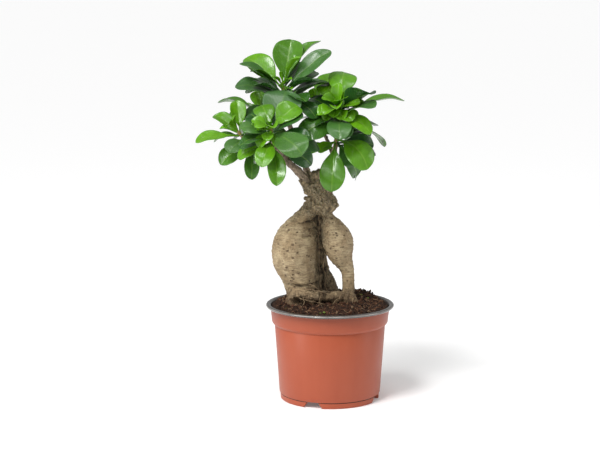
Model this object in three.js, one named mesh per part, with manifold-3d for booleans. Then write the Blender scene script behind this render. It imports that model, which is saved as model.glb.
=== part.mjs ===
// A ginseng fig (Ficus microcarpa) grown as a small bonsai, in the plastic nursery pot that it is sold in.
// Millimetres, +Z up. The origin is on the pot's axis, where the pot stands; -Y is the front.
// The swollen roots and trunk are one solid, the three grafted branches seat in sockets in it,
// and each grown leaf is a solid of its own whose stalk ends at the bark of its branch.
import * as THREE from "three";
import { mergeVertices } from "three/addons/utils/BufferGeometryUtils.js";
import Module from "manifold-3d";

const wasm = await Module();
wasm.setup();

// ---------------------------------------------------------------- driving dimensions

const POT_HEIGHT = 90;
const RIM_RADIUS = 60; // outside of the rolled rim
const RIM_ROLL = 4.4; // how far the rim rolls out past the collar
const RIM_THICKNESS = 3; // the roll's height
const COLLAR_HEIGHT = 16; // from the rim's underside to the step
const COLLAR_STEP = 2.4; // how far the wall steps in below the collar
const WALL_TAPER = 4.4; // how far the wall narrows from the step to its foot
const WALL = 1.2; // pot wall and floor
const FOOT_HEIGHT = 5.4; // clear height under the floor
const FOOT_INSET = 0.7; // the foot ring stands in from the wall
const FOOT_WIDTH = 4.8; // radial width of the foot ring
const FOOT_NOTCHES = 4;
const NOTCH_ANGLE = 24; // degrees that each notch opens at the ground
const NOTCH_TURN = -111; // bearing of the first notch, degrees from +X
const CENTRE_FOOT_RADIUS = 14;
const DRAIN_HOLES = 8;
const DRAIN_RADIUS = 4;
const DRAIN_INSET = 10; // from the foot ring's inside to the holes' centres

const SOIL_BELOW_RIM = 2.6; // at the pot's wall
const SOIL_MOUND = 5; // how far the soil rises to the middle

const FIT = 0.35; // clearance between pieces that touch
const GIRTH = 1; // thickness of all the wood, as a share
const LEAF_SIZE = 1; // length and width of every leaf, as a share
const LEAF_THICKNESS = 0.8;
const STALK_RADIUS = 0.8;
const STALK_SHARE = 0.14; // of a leaf's length
const BUD_LENGTH = 7; // pointed bud past a shoot's last leaf
const INTERNODE = 2.3; // between one leaf stalk and the next

const POT_SIDES = 40;
const TRUNK_SIDES = 12;
const BRANCH_SIDES = 6;
const LEAF_SIDES = 8;

// ---------------------------------------------------------------- the wood

// A limb is a list of stations [x, y, height above the pot's rim, radius] that a round stem passes through.
// depth is its section's size from front to back, as a share of its width.
const TRUNK_LIMBS = {
  stump: {
    depth: 0.95,
    stations: [
      [-13, 1, 68, 12],
      [-10, 0, 84, 13.5],
      [-8.4, 0, 95, 13.2],
      [-9.3, 0, 104, 11.8],
      [-10, 0, 114, 9.6],
      [-10.4, 0, 124.5, 8.8],
    ],
  },
  graft_shoulder: {
    depth: 1,
    stations: [
      [-7, -1, 103, 7.5],
      [-2.5, -1.5, 96, 9.4],
      [0, -2, 90, 8.4],
      [-2, -2, 85, 5],
    ],
  },
  great_root: {
    depth: 0.94,
    stations: [
      [-14, 1, 96, 7],
      [-19, 1, 86, 11.6],
      [-25.5, 0, 74, 17.2],
      [-31, -1, 62, 20.8],
      [-33.2, -1.5, 49, 21.8],
      [-31.4, -2, 35, 20],
      [-28.4, -3, 20, 17],
      [-27.5, -5, 7, 13.6],
      [-29, -7, -6, 10.5],
      [-30, -8, -24, 6],
    ],
  },
  right_leg: {
    depth: 0.95,
    stations: [
      [-8, -2, 90, 7],
      [-3, -4, 80, 10.6],
      [3.4, -5.5, 69, 14.4],
      [7.2, -6, 57, 15.4],
      [10.6, -6, 45.5, 11.6],
      [15.4, -6.5, 35.5, 7.6],
      [17.2, -7, 26, 5.9],
      [17, -8, 15, 5.4],
      [16.6, -9, 5, 6],
      [18, -10, -6, 5.4],
      [20, -11, -22, 3.4],
    ],
  },
  rear_leg: {
    depth: 1,
    stations: [
      [-11, 3, 82, 11],
      [-10.5, 7, 64, 9.8],
      [-11, 10, 46, 8.4],
      [-10, 11, 32, 8],
      [-5.2, 12, 19, 9.6],
      [-2.4, 12, 7, 11.5],
      [1, 14, -8, 8],
      [3, 16, -24, 4],
    ],
  },
  back_root: {
    depth: 1,
    stations: [
      [-14, 4, 84, 9],
      [-20, 11, 68, 13],
      [-23, 16, 50, 14],
      [-23, 18, 32, 12],
      [-25, 19, 16, 9],
      [-28, 20, 2, 7],
      [-30, 21, -16, 4.4],
    ],
  },
  surface_root: {
    depth: 1,
    stations: [
      [-37, -15, 9, 4.6],
      [-31, -20.5, 15.5, 4.2],
      [-23, -23, 13.4, 4.4],
      [-13, -23, 11, 4.8],
      [-4, -21, 10, 4.4],
      [4, -17, 10.4, 4],
      [10, -11, 8, 4.4],
      [15, -8, 0, 4],
    ],
  },
  side_rootlet: {
    depth: 1,
    stations: [
      [18, -9, 11, 3.6],
      [22.5, -11.5, 5, 2.6],
      [25.5, -14, -4, 2],
      [27, -15, -16, 1.4],
    ],
  },
};

// A branch is its main stem and the shoots that fork from it.
const BRANCHES = {
  branch_top: {
    stem: [
      [-12, 6, 104, 2.8],
      [-20.5, 9, 118, 3],
      [-24.5, 8.5, 132, 2.7],
      [-30, 5, 150, 2.4],
    ],
    shoots: {
      top: [
        [-30, 5, 150, 2.4],
        [-38, 3, 168, 2.1],
        [-42.5, 1, 185, 1.9],
        [-43.8, 0, 204, 1.6],
      ],
    },
  },
  branch_right: {
    stem: [
      [-5, 2, 106, 3.6],
      [1, 4, 116, 3.7],
      [3.6, 4, 130, 3.2],
      [3.5, 1, 143, 2.8],
    ],
    shoots: {
      low_right: [
        [3.5, 1, 143, 2.3],
        [4.2, -3, 148, 2],
        [4.6, -8, 155, 1.6],
      ],
      right: [
        [3.5, 1, 143, 2.7],
        [6.5, 1, 156, 2.2],
        [8, -5, 170, 1.9],
        [6.5, -14, 184, 1.6],
      ],
      back_right: [
        [3.4, 3, 138, 2.4],
        [-1, 16, 148, 2.1],
        [-8, 28, 162, 1.8],
        [-11, 36, 178, 1.6],
      ],
    },
  },
  branch_left: {
    stem: [
      [-10.5, -1, 96, 4],
      [-17.5, -3, 107, 4.4],
      [-23.5, -4, 117, 4.2],
      [-32, -4.5, 127.5, 3.7],
      [-43.5, -6, 136.5, 3],
    ],
    shoots: {
      left: [
        [-43.5, -6, 136.5, 2.8],
        [-60, -8, 143, 2.2],
        [-74, -9, 151.5, 1.9],
        [-84, -10, 161, 1.6],
      ],
      front: [
        [-43.5, -6, 136.5, 2.8],
        [-48, -22, 145, 2.2],
        [-52.5, -38, 154, 1.9],
        [-54, -50, 168, 1.6],
      ],
      back_left: [
        [-36, -4.5, 131, 2.6],
        [-44, 8, 142, 2.2],
        [-55, 24, 157, 1.9],
        [-64, 36, 176, 1.6],
      ],
    },
  },
};

// ---------------------------------------------------------------- the leaves

// Each leaf, from its shoot's tip down: [bearing from +X, rise above the horizon, length, width,
// lean of its upper side from straight up to the front, arch as a share of its length,
// cup as a share of its half width].
const LEAVES = {
  top: [
    [72, 67, 45, 30, 20, -0.05, 0.25],
    [150, 38, 46, 28, 35, 0.04, 0.15],
    [2, 42, 55, 20, 40, 0.05, 0.2],
    [178, 37, 47, 21, 15, 0.06, 0.15],
    [33, 30, 41, 22, 30, 0.1, 0.1],
    [-167, 16, 44, 25, 25, 0.1, 0.15],
    [-36, -20, 38, 22, 20, 0.12, 0.1],
    [140, 12, 42, 24, 0, 0.1, 0.1],
    [18, 27, 46, 20, 5, 0.08, 0.1],
  ],
  right: [
    [76, 46, 43, 28, 35, 0.15, -0.1],
    [130, 38, 36, 25, 35, 0.06, 0.1],
    [-45, 29, 43, 28, -20, 0.08, 0.2],
    [-4, 15, 59, 23, 5, 0.06, 0.2],
    [-29, 18, 45, 22, 25, 0.06, 0.15],
    [-92, -20, 38, 24, 30, 0.14, 0],
    [-48, -12, 37, 19, 35, 0.2, -0.05],
    [-144, -12, 43, 28, 45, 0.16, -0.15],
    [40, -4, 44, 22, 20, 0.1, 0],
    [38, -22, 50, 20, 0, 0.1, 0.1],
  ],
  low_right: [
    [-41, -33, 47, 29, 40, 0.16, -0.12],
    [-99, -60, 48, 25, 10, 0.08, -0.08],
    [56, 14, 36, 24, 35, 0.1, 0],
    [48, -48, 45, 25, 40, 0.1, 0],
    [30, -8, 42, 24, 40, 0.1, 0],
    [165, -8, 23, 15, 40, 0.12, 0],
  ],
  front: [
    [36, 36, 34, 25, 45, 0.05, 0.12],
    [115, 45, 30, 21, 40, 0.16, -0.12],
    [-52, -16, 45, 32, 40, 0.1, 0.05],
    [54, 48, 47, 38, 40, 0.05, 0.08],
    [-150, 20, 31, 19, 30, 0.14, -0.1],
    [-104, -32, 36, 19, 25, 0.1, 0.1],
    [24, -10, 46, 27, 40, 0.1, 0],
    [-80, -44, 46, 18, 10, 0.08, 0.12],
    [180, -20, 32, 16, 40, 0.1, 0],
    [-14, -26, 37, 22, 45, 0.14, -0.05],
  ],
  left: [
    [100, 62, 32, 16, 10, -0.06, 0.35],
    [-156, -4, 42, 20, 20, 0.06, 0.15],
    [152, 34, 35, 17, 30, 0.06, 0.15],
    [55, 46, 38, 23, 35, 0.1, 0],
    [-116, -12, 30, 20, 45, 0.12, -0.05],
    [10, 10, 36, 20, 40, 0.1, 0],
    [-150, -28, 33, 21, 35, 0.1, 0],
    [-84, -54, 34, 15, 10, 0.1, 0.15],
  ],
  back_left: [
    [110, 52, 40, 26, -20, 0.06, 0.2],
    [176, 18, 42, 24, 0, 0.1, 0.1],
    [20, 14, 42, 26, 20, 0.1, 0.1],
    [-140, 6, 38, 22, 30, 0.1, 0],
    [110, -24, 44, 25, -20, 0.12, 0],
    [170, -34, 40, 23, 0, 0.12, 0],
  ],
  back_right: [
    [60, 55, 42, 28, -10, 0.06, 0.2],
    [160, 24, 42, 26, 20, 0.1, 0.1],
    [10, 16, 44, 26, 0, 0.1, 0.1],
    [90, -16, 44, 26, -20, 0.14, 0],
    [30, -36, 44, 25, 0, 0.12, 0],
  ],
};

// ---------------------------------------------------------------- shared shapes

const rad = THREE.MathUtils.degToRad;

function solidOf(geometry) {
  const bare = geometry.clone();
  bare.deleteAttribute("normal");
  bare.deleteAttribute("uv");
  const merged = mergeVertices(bare, 1e-4);
  return new wasm.Manifold(
    new wasm.Mesh({
      numProp: 3,
      vertProperties: new Float32Array(merged.attributes.position.array),
      triVerts: new Uint32Array(merged.index.array),
    }),
  );
}

function geometryOf(solid) {
  const mesh = solid.getMesh();
  const points = new Float32Array(mesh.numVert * 3);
  for (let i = 0; i < mesh.numVert; i++) {
    const from = i * mesh.numProp;
    points.set(mesh.vertProperties.subarray(from, from + 3), i * 3);
  }
  const geometry = new THREE.BufferGeometry();
  geometry.setAttribute("position", new THREE.BufferAttribute(points, 3));
  geometry.setIndex(new THREE.BufferAttribute(new Uint32Array(mesh.triVerts), 1));
  geometry.computeVertexNormals();
  return geometry;
}

function union(solids) {
  return solids.reduce((whole, solid) => whole.add(solid));
}

// LatheGeometry turns about +Y, so the profile's [radius, height] is stood up along +Z.
function turned(profile, sides) {
  const points = profile.map(([radius, height]) => new THREE.Vector2(radius, height));
  return new THREE.LatheGeometry(points, sides).rotateX(Math.PI / 2);
}

function stemLine(stations) {
  return new THREE.CatmullRomCurve3(
    stations.map(([x, y, height]) => new THREE.Vector3(x, y, POT_HEIGHT + height)),
  );
}

// A round stem through its stations, grown by extra all round.
// A cylinder with one ring for each step is bent onto the curve.
function limb(stations, { depth = 1, sides = TRUNK_SIDES, extra = 0 } = {}) {
  const steps = Math.round(stations.length * 1.6);
  const line = stemLine(stations);
  const radii = new THREE.SplineCurve(stations.map((s, i) => new THREE.Vector2(i, s[3] * GIRTH)));
  const geometry = new THREE.CylinderGeometry(1, 1, 1, sides, steps);
  const position = geometry.getAttribute("position");
  const frames = stemFrames(line, steps);
  for (let i = 0; i < position.count; i++) {
    const ring = Math.round((position.getY(i) + 0.5) * steps);
    const { centre, along, side, front } = frames[ring];
    const radius = radii.getPoint(ring / steps).y + extra;
    const end = ring === 0 ? -extra : ring === steps ? extra : 0;
    const point = centre
      .clone()
      .addScaledVector(side, position.getX(i) * radius)
      .addScaledVector(front, position.getZ(i) * radius * depth)
      .addScaledVector(along, end);
    position.setXYZ(i, point.x, point.y, point.z);
  }
  return solidOf(geometry);
}

// The stem's centre and directions at each step, turned no more than the line turns.
function stemFrames(line, steps) {
  let side = new THREE.Vector3(1, 0, 0);
  return Array.from({ length: steps + 1 }, (_, step) => {
    const along = line.getTangent(step / steps);
    side = side.clone().addScaledVector(along, -side.dot(along)).normalize();
    const front = new THREE.Vector3().crossVectors(side, along);
    return { centre: line.getPoint(step / steps), along, side, front };
  });
}

// ---------------------------------------------------------------- pot and soil

const collarRadius = RIM_RADIUS - RIM_ROLL;
const rimUnderside = POT_HEIGHT - RIM_THICKNESS;
const collarFoot = rimUnderside - COLLAR_HEIGHT + COLLAR_STEP;
const wallTop = rimUnderside - COLLAR_HEIGHT;
const wallTopRadius = collarRadius - COLLAR_STEP - 1.4;
const baseRadius = wallTopRadius - WALL_TAPER;
const footRadius = baseRadius - FOOT_INSET;
const floorTop = FOOT_HEIGHT + WALL;
const COLLAR_TAPER = 1.2;
const FOOT_TAPER = 0.4;
const CENTRE_FOOT_SLOPE = 3;

function potSolid() {
  const outside = [
    [0, 0],
    [CENTRE_FOOT_RADIUS, 0],
    [CENTRE_FOOT_RADIUS + CENTRE_FOOT_SLOPE, FOOT_HEIGHT],
    [footRadius - FOOT_WIDTH, FOOT_HEIGHT],
    [footRadius - FOOT_WIDTH, 0],
    [footRadius - FOOT_TAPER, 0],
    [footRadius, FOOT_HEIGHT],
    [baseRadius, FOOT_HEIGHT + FOOT_INSET],
    [wallTopRadius, wallTop],
    [collarRadius - COLLAR_TAPER, collarFoot],
    [collarRadius, rimUnderside],
  ];
  const roll = [
    [RIM_RADIUS - 0.7, rimUnderside],
    [RIM_RADIUS, rimUnderside + RIM_THICKNESS * 0.4],
    [RIM_RADIUS - 0.7, POT_HEIGHT - RIM_THICKNESS * 0.2],
    [RIM_RADIUS - RIM_ROLL * 0.5, POT_HEIGHT],
    [collarRadius - WALL * 0.4, POT_HEIGHT - RIM_THICKNESS * 0.15],
  ];
  const inside = [
    [collarRadius - WALL, rimUnderside],
    [collarRadius - COLLAR_TAPER - WALL, collarFoot],
    [wallTopRadius - WALL, wallTop],
    [baseRadius - WALL, floorTop],
    [CENTRE_FOOT_RADIUS + CENTRE_FOOT_SLOPE - WALL / 2, floorTop],
    [CENTRE_FOOT_RADIUS - WALL / 2, WALL],
    [0, WALL],
  ];
  const shell = solidOf(turned([...outside, ...roll, ...inside], POT_SIDES));
  return shell.subtract(union([...footNotches(), ...drainHoles()]));
}

// Each notch is a wedge with sloping sides, through the foot ring and up to the floor.
function footNotches() {
  const outer = footRadius + FOOT_INSET / 2;
  const inner = footRadius - FOOT_WIDTH - 1;
  const halfAtGround = Math.tan(rad(NOTCH_ANGLE / 2)) * footRadius;
  const halfAtFloor = halfAtGround - FOOT_HEIGHT * 0.8;
  const outline = new THREE.Shape([
    new THREE.Vector2(-halfAtGround, -1),
    new THREE.Vector2(halfAtGround, -1),
    new THREE.Vector2(halfAtFloor, FOOT_HEIGHT),
    new THREE.Vector2(-halfAtFloor, FOOT_HEIGHT),
  ]);
  return Array.from({ length: FOOT_NOTCHES }, (_, i) => {
    const wedge = new THREE.ExtrudeGeometry(outline, { depth: outer - inner, bevelEnabled: false });
    wedge.rotateX(Math.PI / 2).translate(0, outer, 0);
    wedge.rotateZ(rad(NOTCH_TURN + (360 / FOOT_NOTCHES) * i - 90));
    return solidOf(wedge);
  });
}

function drainHoles() {
  return Array.from({ length: DRAIN_HOLES }, (_, i) => {
    const hole = new THREE.CylinderGeometry(DRAIN_RADIUS, DRAIN_RADIUS, WALL * 4, 12);
    hole.rotateX(Math.PI / 2);
    hole.translate(footRadius - FOOT_WIDTH - DRAIN_INSET, 0, FOOT_HEIGHT + WALL / 2);
    hole.rotateZ(rad(NOTCH_TURN + (360 / DRAIN_HOLES) * i));
    return solidOf(hole);
  });
}

// The inside of the pot, up to its rim's top, that soil and roots have to fit.
function roomInPot(top) {
  const wall = collarRadius - WALL - FIT;
  return [
    [0, floorTop + FIT],
    [baseRadius - WALL - FIT, floorTop + FIT],
    [wallTopRadius - WALL - FIT, wallTop],
    [wall - COLLAR_TAPER, collarFoot + FIT],
    [wall, top],
  ];
}

function soilSolid(rootSpace) {
  const edge = POT_HEIGHT - SOIL_BELOW_RIM;
  const heap = (share) => edge + SOIL_MOUND * (1 - share * share);
  const wall = collarRadius - WALL - FIT;
  const rings = [0.9, 0.75, 0.55, 0.35, 0.15];
  const profile = [
    ...roomInPot(edge - FIT),
    ...rings.map((share) => [wall * share, heap(share)]),
    [0, heap(0)],
  ];
  return solidOf(turned(profile, POT_SIDES * 0.75)).subtract(rootSpace);
}

// Roots stop at the pot's wall and floor.
function insidePot(roots) {
  const above = POT_HEIGHT + FIT;
  const high = POT_HEIGHT * 10;
  const room = [...roomInPot(above), [RIM_RADIUS * 4, above], [RIM_RADIUS * 4, high], [0, high]];
  return roots.intersect(solidOf(turned(room, POT_SIDES)));
}

// ---------------------------------------------------------------- wood solids

function trunkSpace(extra) {
  return union(
    Object.values(TRUNK_LIMBS).map(({ stations, depth }) => limb(stations, { depth, extra })),
  );
}

// The shoot's last station is where its leaves end, and a bud carries it on to a point.
function withBud(stations) {
  const [last, before] = [stations.at(-1), stations.at(-2)].map((s) => new THREE.Vector3(...s));
  const bud = last.clone().addScaledVector(last.clone().sub(before).normalize(), BUD_LENGTH);
  return [...stations, [bud.x, bud.y, bud.z, 0.3]];
}

function branchSolid({ stem, shoots }, extra = 0) {
  const limbs = [stem, ...Object.values(shoots).map(withBud)];
  return union(limbs.map((stations) => limb(stations, { sides: BRANCH_SIDES, extra })));
}

// ---------------------------------------------------------------- leaf solids

// Half the width of a leaf along its length: a stalk, then an egg shape, broadest past the middle.
const BROADEST = 0.6;
const BASE_TAPER = 0.75;
const TIP_ROUNDING = 0.5;
const LEAF_STEPS = [0, 0.12, 0.3, 0.55, 0.8, 0.95, 1];

function halfWidth(share, width) {
  const blade = Math.max(0, (share - STALK_SHARE) / (1 - STALK_SHARE));
  const widening = (blade / BROADEST) ** BASE_TAPER;
  const closing = ((1 - blade) / (1 - BROADEST)) ** TIP_ROUNDING;
  return Math.max(STALK_RADIUS * (share < 0.5 ? 1 : 0), (width / 2) * widening * closing);
}

function leafDirections(bearing, rise, lean) {
  const along = new THREE.Vector3(
    Math.cos(rad(rise)) * Math.cos(rad(bearing)),
    Math.cos(rad(rise)) * Math.sin(rad(bearing)),
    Math.sin(rad(rise)),
  );
  const up = new THREE.Vector3(0, -Math.sin(rad(lean)), Math.cos(rad(lean)));
  up.addScaledVector(along, -up.dot(along)).normalize();
  return { along, up, across: new THREE.Vector3().crossVectors(up, along) };
}

// A sphere's rings become the leaf's cross-sections, from its stalk's foot to its tip.
function leafSolid(foot, { along, up, across }, [, , length, width, , arch, cup], extra = 0) {
  const rings = LEAF_STEPS.length - 1;
  const geometry = new THREE.SphereGeometry(1, LEAF_SIDES, rings);
  const position = geometry.getAttribute("position");
  const long = length * LEAF_SIZE;
  for (let i = 0; i < position.count; i++) {
    const polar = Math.acos(THREE.MathUtils.clamp(position.getY(i), -1, 1));
    const ring = Math.round((polar / Math.PI) * rings);
    const share = LEAF_STEPS[ring];
    const circle = ring === 0 || ring === rings ? 0 : 1 / Math.sin(polar);
    const half = halfWidth(share, width * LEAF_SIZE) + extra;
    const thick = Math.max(LEAF_THICKNESS / 2, STALK_RADIUS * (1 - share * 4)) + extra;
    const sideways = position.getX(i) * circle;
    const height =
      4 * arch * long * share * (1 - share) +
      cup * half * sideways ** 2 * Math.min(1, share * 2) +
      thick * position.getZ(i) * circle;
    const point = foot
      .clone()
      .addScaledVector(along, share * long)
      .addScaledVector(across, half * sideways)
      .addScaledVector(up, height);
    position.setXYZ(i, point.x, point.y, point.z);
  }
  return solidOf(geometry);
}

// Where the nth leaf from the tip grows on a shoot.
function budPoint(stations, n) {
  const line = stemLine(stations);
  const share = Math.max(0, 1 - (n * INTERNODE) / line.getLength());
  const radii = stations.map((s) => s[3] * GIRTH);
  const at = line.getUtoTmapping(share) * (radii.length - 1);
  const below = Math.min(Math.floor(at), radii.length - 2);
  return {
    centre: line.getPointAt(share),
    along: line.getTangentAt(share),
    radius: THREE.MathUtils.lerp(radii[below], radii[below + 1], at - below),
  };
}

// A leaf that would touch what has already grown swings aside until it is clear.
const SWINGS = [0, 6, -6, 12, -12, 18, -18, 26, -26, 36, -36, 48, -48];

function growLeaf(stations, n, leaf, grown) {
  const { centre, along, radius } = budPoint(stations, n);
  for (const lift of SWINGS.slice(0, 7)) {
    for (const swing of SWINGS) {
      const [bearing, rise, , , lean] = leaf;
      const aim = leafDirections(bearing + swing, rise + lift, lean);
      const out = aim.along.clone().addScaledVector(along, -aim.along.dot(along)).normalize();
      const foot = centre.clone().addScaledVector(out, radius + FIT);
      const room = leafSolid(foot, aim, leaf, FIT / 2);
      if (!grown.some((other) => touches(room, other))) return leafSolid(foot, aim, leaf);
    }
  }
  throw new Error(`leaf ${n} finds no room`);
}

function touches(a, b) {
  const [boxA, boxB] = [a.boundingBox(), b.boundingBox()];
  const apart = [0, 1, 2].some((k) => boxA.min[k] > boxB.max[k] || boxB.min[k] > boxA.max[k]);
  return !apart && a.intersect(b).volume() > 1e-6;
}

// ---------------------------------------------------------------- assembly

const COLOURS = {
  pot: new THREE.MeshStandardMaterial({ color: 0xc4694c, roughness: 0.45, metalness: 0 }),
  soil: new THREE.MeshStandardMaterial({ color: 0x3b2a20, roughness: 1, metalness: 0 }),
  bark: new THREE.MeshStandardMaterial({ color: 0x9a8560, roughness: 0.85, metalness: 0 }),
  twig: new THREE.MeshStandardMaterial({ color: 0x6b5844, roughness: 0.9, metalness: 0 }),
  youngLeaf: new THREE.MeshStandardMaterial({ color: 0x5ba32c, roughness: 0.3, metalness: 0 }),
  grownLeaf: new THREE.MeshStandardMaterial({ color: 0x2f6a2b, roughness: 0.25, metalness: 0 }),
};
const YOUNG_LEAVES = 2; // the last to grow on each shoot

const plant = new THREE.Group();

function place(name, solid, material) {
  const mesh = new THREE.Mesh(geometryOf(solid), material);
  mesh.name = name;
  plant.add(mesh);
}

place("nursery_pot", potSolid(), COLOURS.pot);
place("potting_soil", soilSolid(trunkSpace(FIT)), COLOURS.soil);

const sockets = union(Object.values(BRANCHES).map((branch) => branchSolid(branch, FIT)));
const trunk = insidePot(trunkSpace(0)).subtract(sockets);
place("trunk_and_roots", trunk, COLOURS.bark);

// Each branch, and then each leaf, leaves room for what has grown before it.
const grown = [trunk];
let branchSpace = null;
for (const [name, branch] of Object.entries(BRANCHES)) {
  const whole = branchSolid(branch);
  const solid = branchSpace ? whole.subtract(branchSpace) : whole;
  const space = branchSolid(branch, FIT);
  branchSpace = branchSpace ? branchSpace.add(space) : space;
  grown.push(solid);
  place(name, solid, COLOURS.twig);
}
for (const { shoots } of Object.values(BRANCHES)) {
  for (const [shoot, stations] of Object.entries(shoots)) {
    LEAVES[shoot].forEach((leaf, n) => {
      const solid = growLeaf(stations, n, leaf, grown);
      grown.push(solid);
      place(`leaf_${shoot}_${n + 1}`, solid, n < YOUNG_LEAVES ? COLOURS.youngLeaf : COLOURS.grownLeaf);
    });
  }
}

export default plant;
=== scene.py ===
"""A bonsai fig with swollen roots, in a plastic nursery pot, on a pale studio floor."""

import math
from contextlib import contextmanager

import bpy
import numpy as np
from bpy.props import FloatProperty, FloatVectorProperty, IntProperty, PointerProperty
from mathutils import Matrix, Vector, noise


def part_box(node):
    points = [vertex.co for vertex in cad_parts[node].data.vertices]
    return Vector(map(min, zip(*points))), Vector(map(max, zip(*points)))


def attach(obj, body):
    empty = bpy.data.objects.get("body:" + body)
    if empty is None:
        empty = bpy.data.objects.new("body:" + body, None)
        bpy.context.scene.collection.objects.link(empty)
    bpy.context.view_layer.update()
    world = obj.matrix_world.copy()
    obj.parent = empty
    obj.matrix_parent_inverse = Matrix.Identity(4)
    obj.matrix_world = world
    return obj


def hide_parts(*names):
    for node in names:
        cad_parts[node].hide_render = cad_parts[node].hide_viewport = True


bl_info = {
    "name": "Bonsai Fig in a Nursery Pot",
    "version": (1, 0, 0),
    "blender": (4, 5, 0),
    "location": "View3D > Sidebar > Bonsai",
    "description": "Builds the pot, soil, root trunk, branches and leaves around the fixed frame",
    "category": "Add Mesh",
}

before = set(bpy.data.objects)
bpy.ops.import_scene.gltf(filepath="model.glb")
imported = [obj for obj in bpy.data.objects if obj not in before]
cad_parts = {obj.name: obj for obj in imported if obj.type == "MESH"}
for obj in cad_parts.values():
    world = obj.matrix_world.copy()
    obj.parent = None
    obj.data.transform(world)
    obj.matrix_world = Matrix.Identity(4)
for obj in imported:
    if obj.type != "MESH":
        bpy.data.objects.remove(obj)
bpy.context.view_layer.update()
MM = 0.001

LEAF_NODES = sorted(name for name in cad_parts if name.startswith("leaf_"))
BRANCH_NODES = sorted(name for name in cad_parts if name.startswith("branch_"))


# ---------------------------------------------------------------- modelling helpers


def activate(piece, *others):
    """Selects these pieces alone and makes the first one active."""
    for other in bpy.context.selected_objects:
        other.select_set(False)
    for chosen in (piece, *others):
        chosen.select_set(True)
    bpy.context.view_layer.objects.active = piece


@contextmanager
def editing(piece, action=None):
    """The piece in edit mode, with all of it selected, or none, or as it was."""
    activate(piece)
    bpy.ops.object.mode_set(mode="EDIT")
    if action:
        bpy.ops.mesh.select_all(action=action)
    yield
    bpy.ops.object.mode_set(mode="OBJECT")


def added(name):
    """The object that was just added, under its own name."""
    piece = bpy.context.active_object
    piece.name = name
    piece.data.name = name
    return piece


def apply_modifier(piece, kind, **settings):
    activate(piece)
    modifier = piece.modifiers.new(kind.lower(), kind)
    for key, value in settings.items():
        setattr(modifier, key, value)
    bpy.ops.object.modifier_apply(modifier=modifier.name)


def settle(piece):
    """Puts the piece's place into its mesh, so that its object sits at the origin."""
    activate(piece)
    bpy.ops.object.transform_apply(location=True, rotation=True, scale=True)


def join(pieces, name):
    activate(*pieces)
    if len(pieces) > 1:
        bpy.ops.object.join()
    return added(name)


def face_outward(piece):
    with editing(piece, "SELECT"):
        bpy.ops.mesh.normals_make_consistent(inside=False)


def smooth_shading(piece, angle=None):
    activate(piece)
    if angle is None:
        bpy.ops.object.shade_smooth()
    else:
        bpy.ops.object.shade_smooth_by_angle(angle=math.radians(angle))


def copy_of_node(node, name):
    """A merged copy of a CAD node's mesh, to be refined."""
    activate(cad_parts[node])
    bpy.ops.object.duplicate()
    piece = added(name)
    piece.parent = None
    piece.matrix_world = Matrix.Identity(4)
    for key in [key for key in piece.keys() if key.startswith("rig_")]:
        del piece[key]
    piece.data.materials.clear()
    with editing(piece, "SELECT"):
        bpy.ops.mesh.remove_doubles(threshold=1e-6)
    return piece


def points_of(piece, kind="co"):
    """Each vertex's place, or another vector of its own, as rows of a table."""
    values = np.empty(len(piece.data.vertices) * 3)
    piece.data.vertices.foreach_get(kind, values)
    return values.reshape(-1, 3)


def normals_of(piece):
    return points_of(piece, "normal")


def move_points(piece, co):
    piece.data.vertices.foreach_set("co", np.asarray(co, np.float32).ravel())
    piece.data.update()


def store(piece, **layers):
    """Numbers that a material can read: one for each vertex, or one for all of them."""
    for name, values in layers.items():
        attribute = piece.data.attributes.new(name, "FLOAT", "POINT")
        attribute.data.foreach_set("value", np.full(len(piece.data.vertices), values, np.float32))


def smoothstep(low, high, value):
    t = np.clip((value - low) / (high - low), 0, 1)
    return t * t * (3 - 2 * t)


def bell(distance):
    return np.exp(-np.square(distance))


def noise_at(co, size, seed=0.0, detail=1):
    """Noise from about -1 to 1 at each point, with lumps about size metres apart."""
    places = co / size + seed
    if detail == 1:
        return np.array([noise.noise(Vector(p)) for p in places]) * 1.6
    return np.array([noise.fractal(Vector(p), 0.9, 2.0, detail) for p in places]) * 1.3


def cavity_of(piece, rounds):
    """How far each point lies below its surroundings, in metres."""
    edges = np.empty(len(piece.data.edges) * 2, np.int64)
    piece.data.edges.foreach_get("vertices", edges)
    one, other = edges.reshape(-1, 2).T
    ends, starts = np.concatenate([one, other]), np.concatenate([other, one])
    count = len(piece.data.vertices)
    share = 1 / np.maximum(np.bincount(ends, minlength=count), 1)
    points = points_of(piece)
    relaxed = points
    for _ in range(rounds):
        sums = [np.bincount(ends, relaxed[starts, axis], count) for axis in range(3)]
        relaxed = np.stack(sums, axis=1) * share[:, None]
    return np.einsum("ij,ij->i", relaxed - points, normals_of(piece))


def finish_piece(piece, materials, nodes=()):
    """Rides the piece on the one body and gives it its materials."""
    piece.data.materials.clear()
    for material in materials:
        piece.data.materials.append(material)
    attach(piece, "root")
    if nodes:
        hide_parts(*nodes)


def scaled(tint, factor):
    return tuple(part * factor for part in tint)


# ---------------------------------------------------------------- shader helpers


class Wire:
    """A number on its way through a material: arithmetic on it adds Math nodes."""

    def __init__(self, finish, socket):
        self.finish = finish
        self.socket = socket

    def math(self, operation, *others):
        node = self.finish.tree.nodes.new("ShaderNodeMath")
        node.operation = operation
        for socket, value in zip(node.inputs, (self, *others)):
            self.finish.feed(socket, value)
        return Wire(self.finish, node.outputs[0])

    def __add__(self, other):
        return self.math("ADD", other)

    def __mul__(self, other):
        return self.math("MULTIPLY", other)

    def __sub__(self, other):
        return self.math("SUBTRACT", other)

    def __rsub__(self, other):
        return (self * -1) + other

    def between(self, low, high, start=0.0, end=1.0):
        """start below low and end above high, with a smooth step between."""
        return self.finish.node(
            "ShaderNodeMapRange",
            {"interpolation_type": "SMOOTHSTEP"},
            {"Value": self, "From Min": low, "From Max": high, "To Min": start, "To Max": end},
        )


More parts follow.
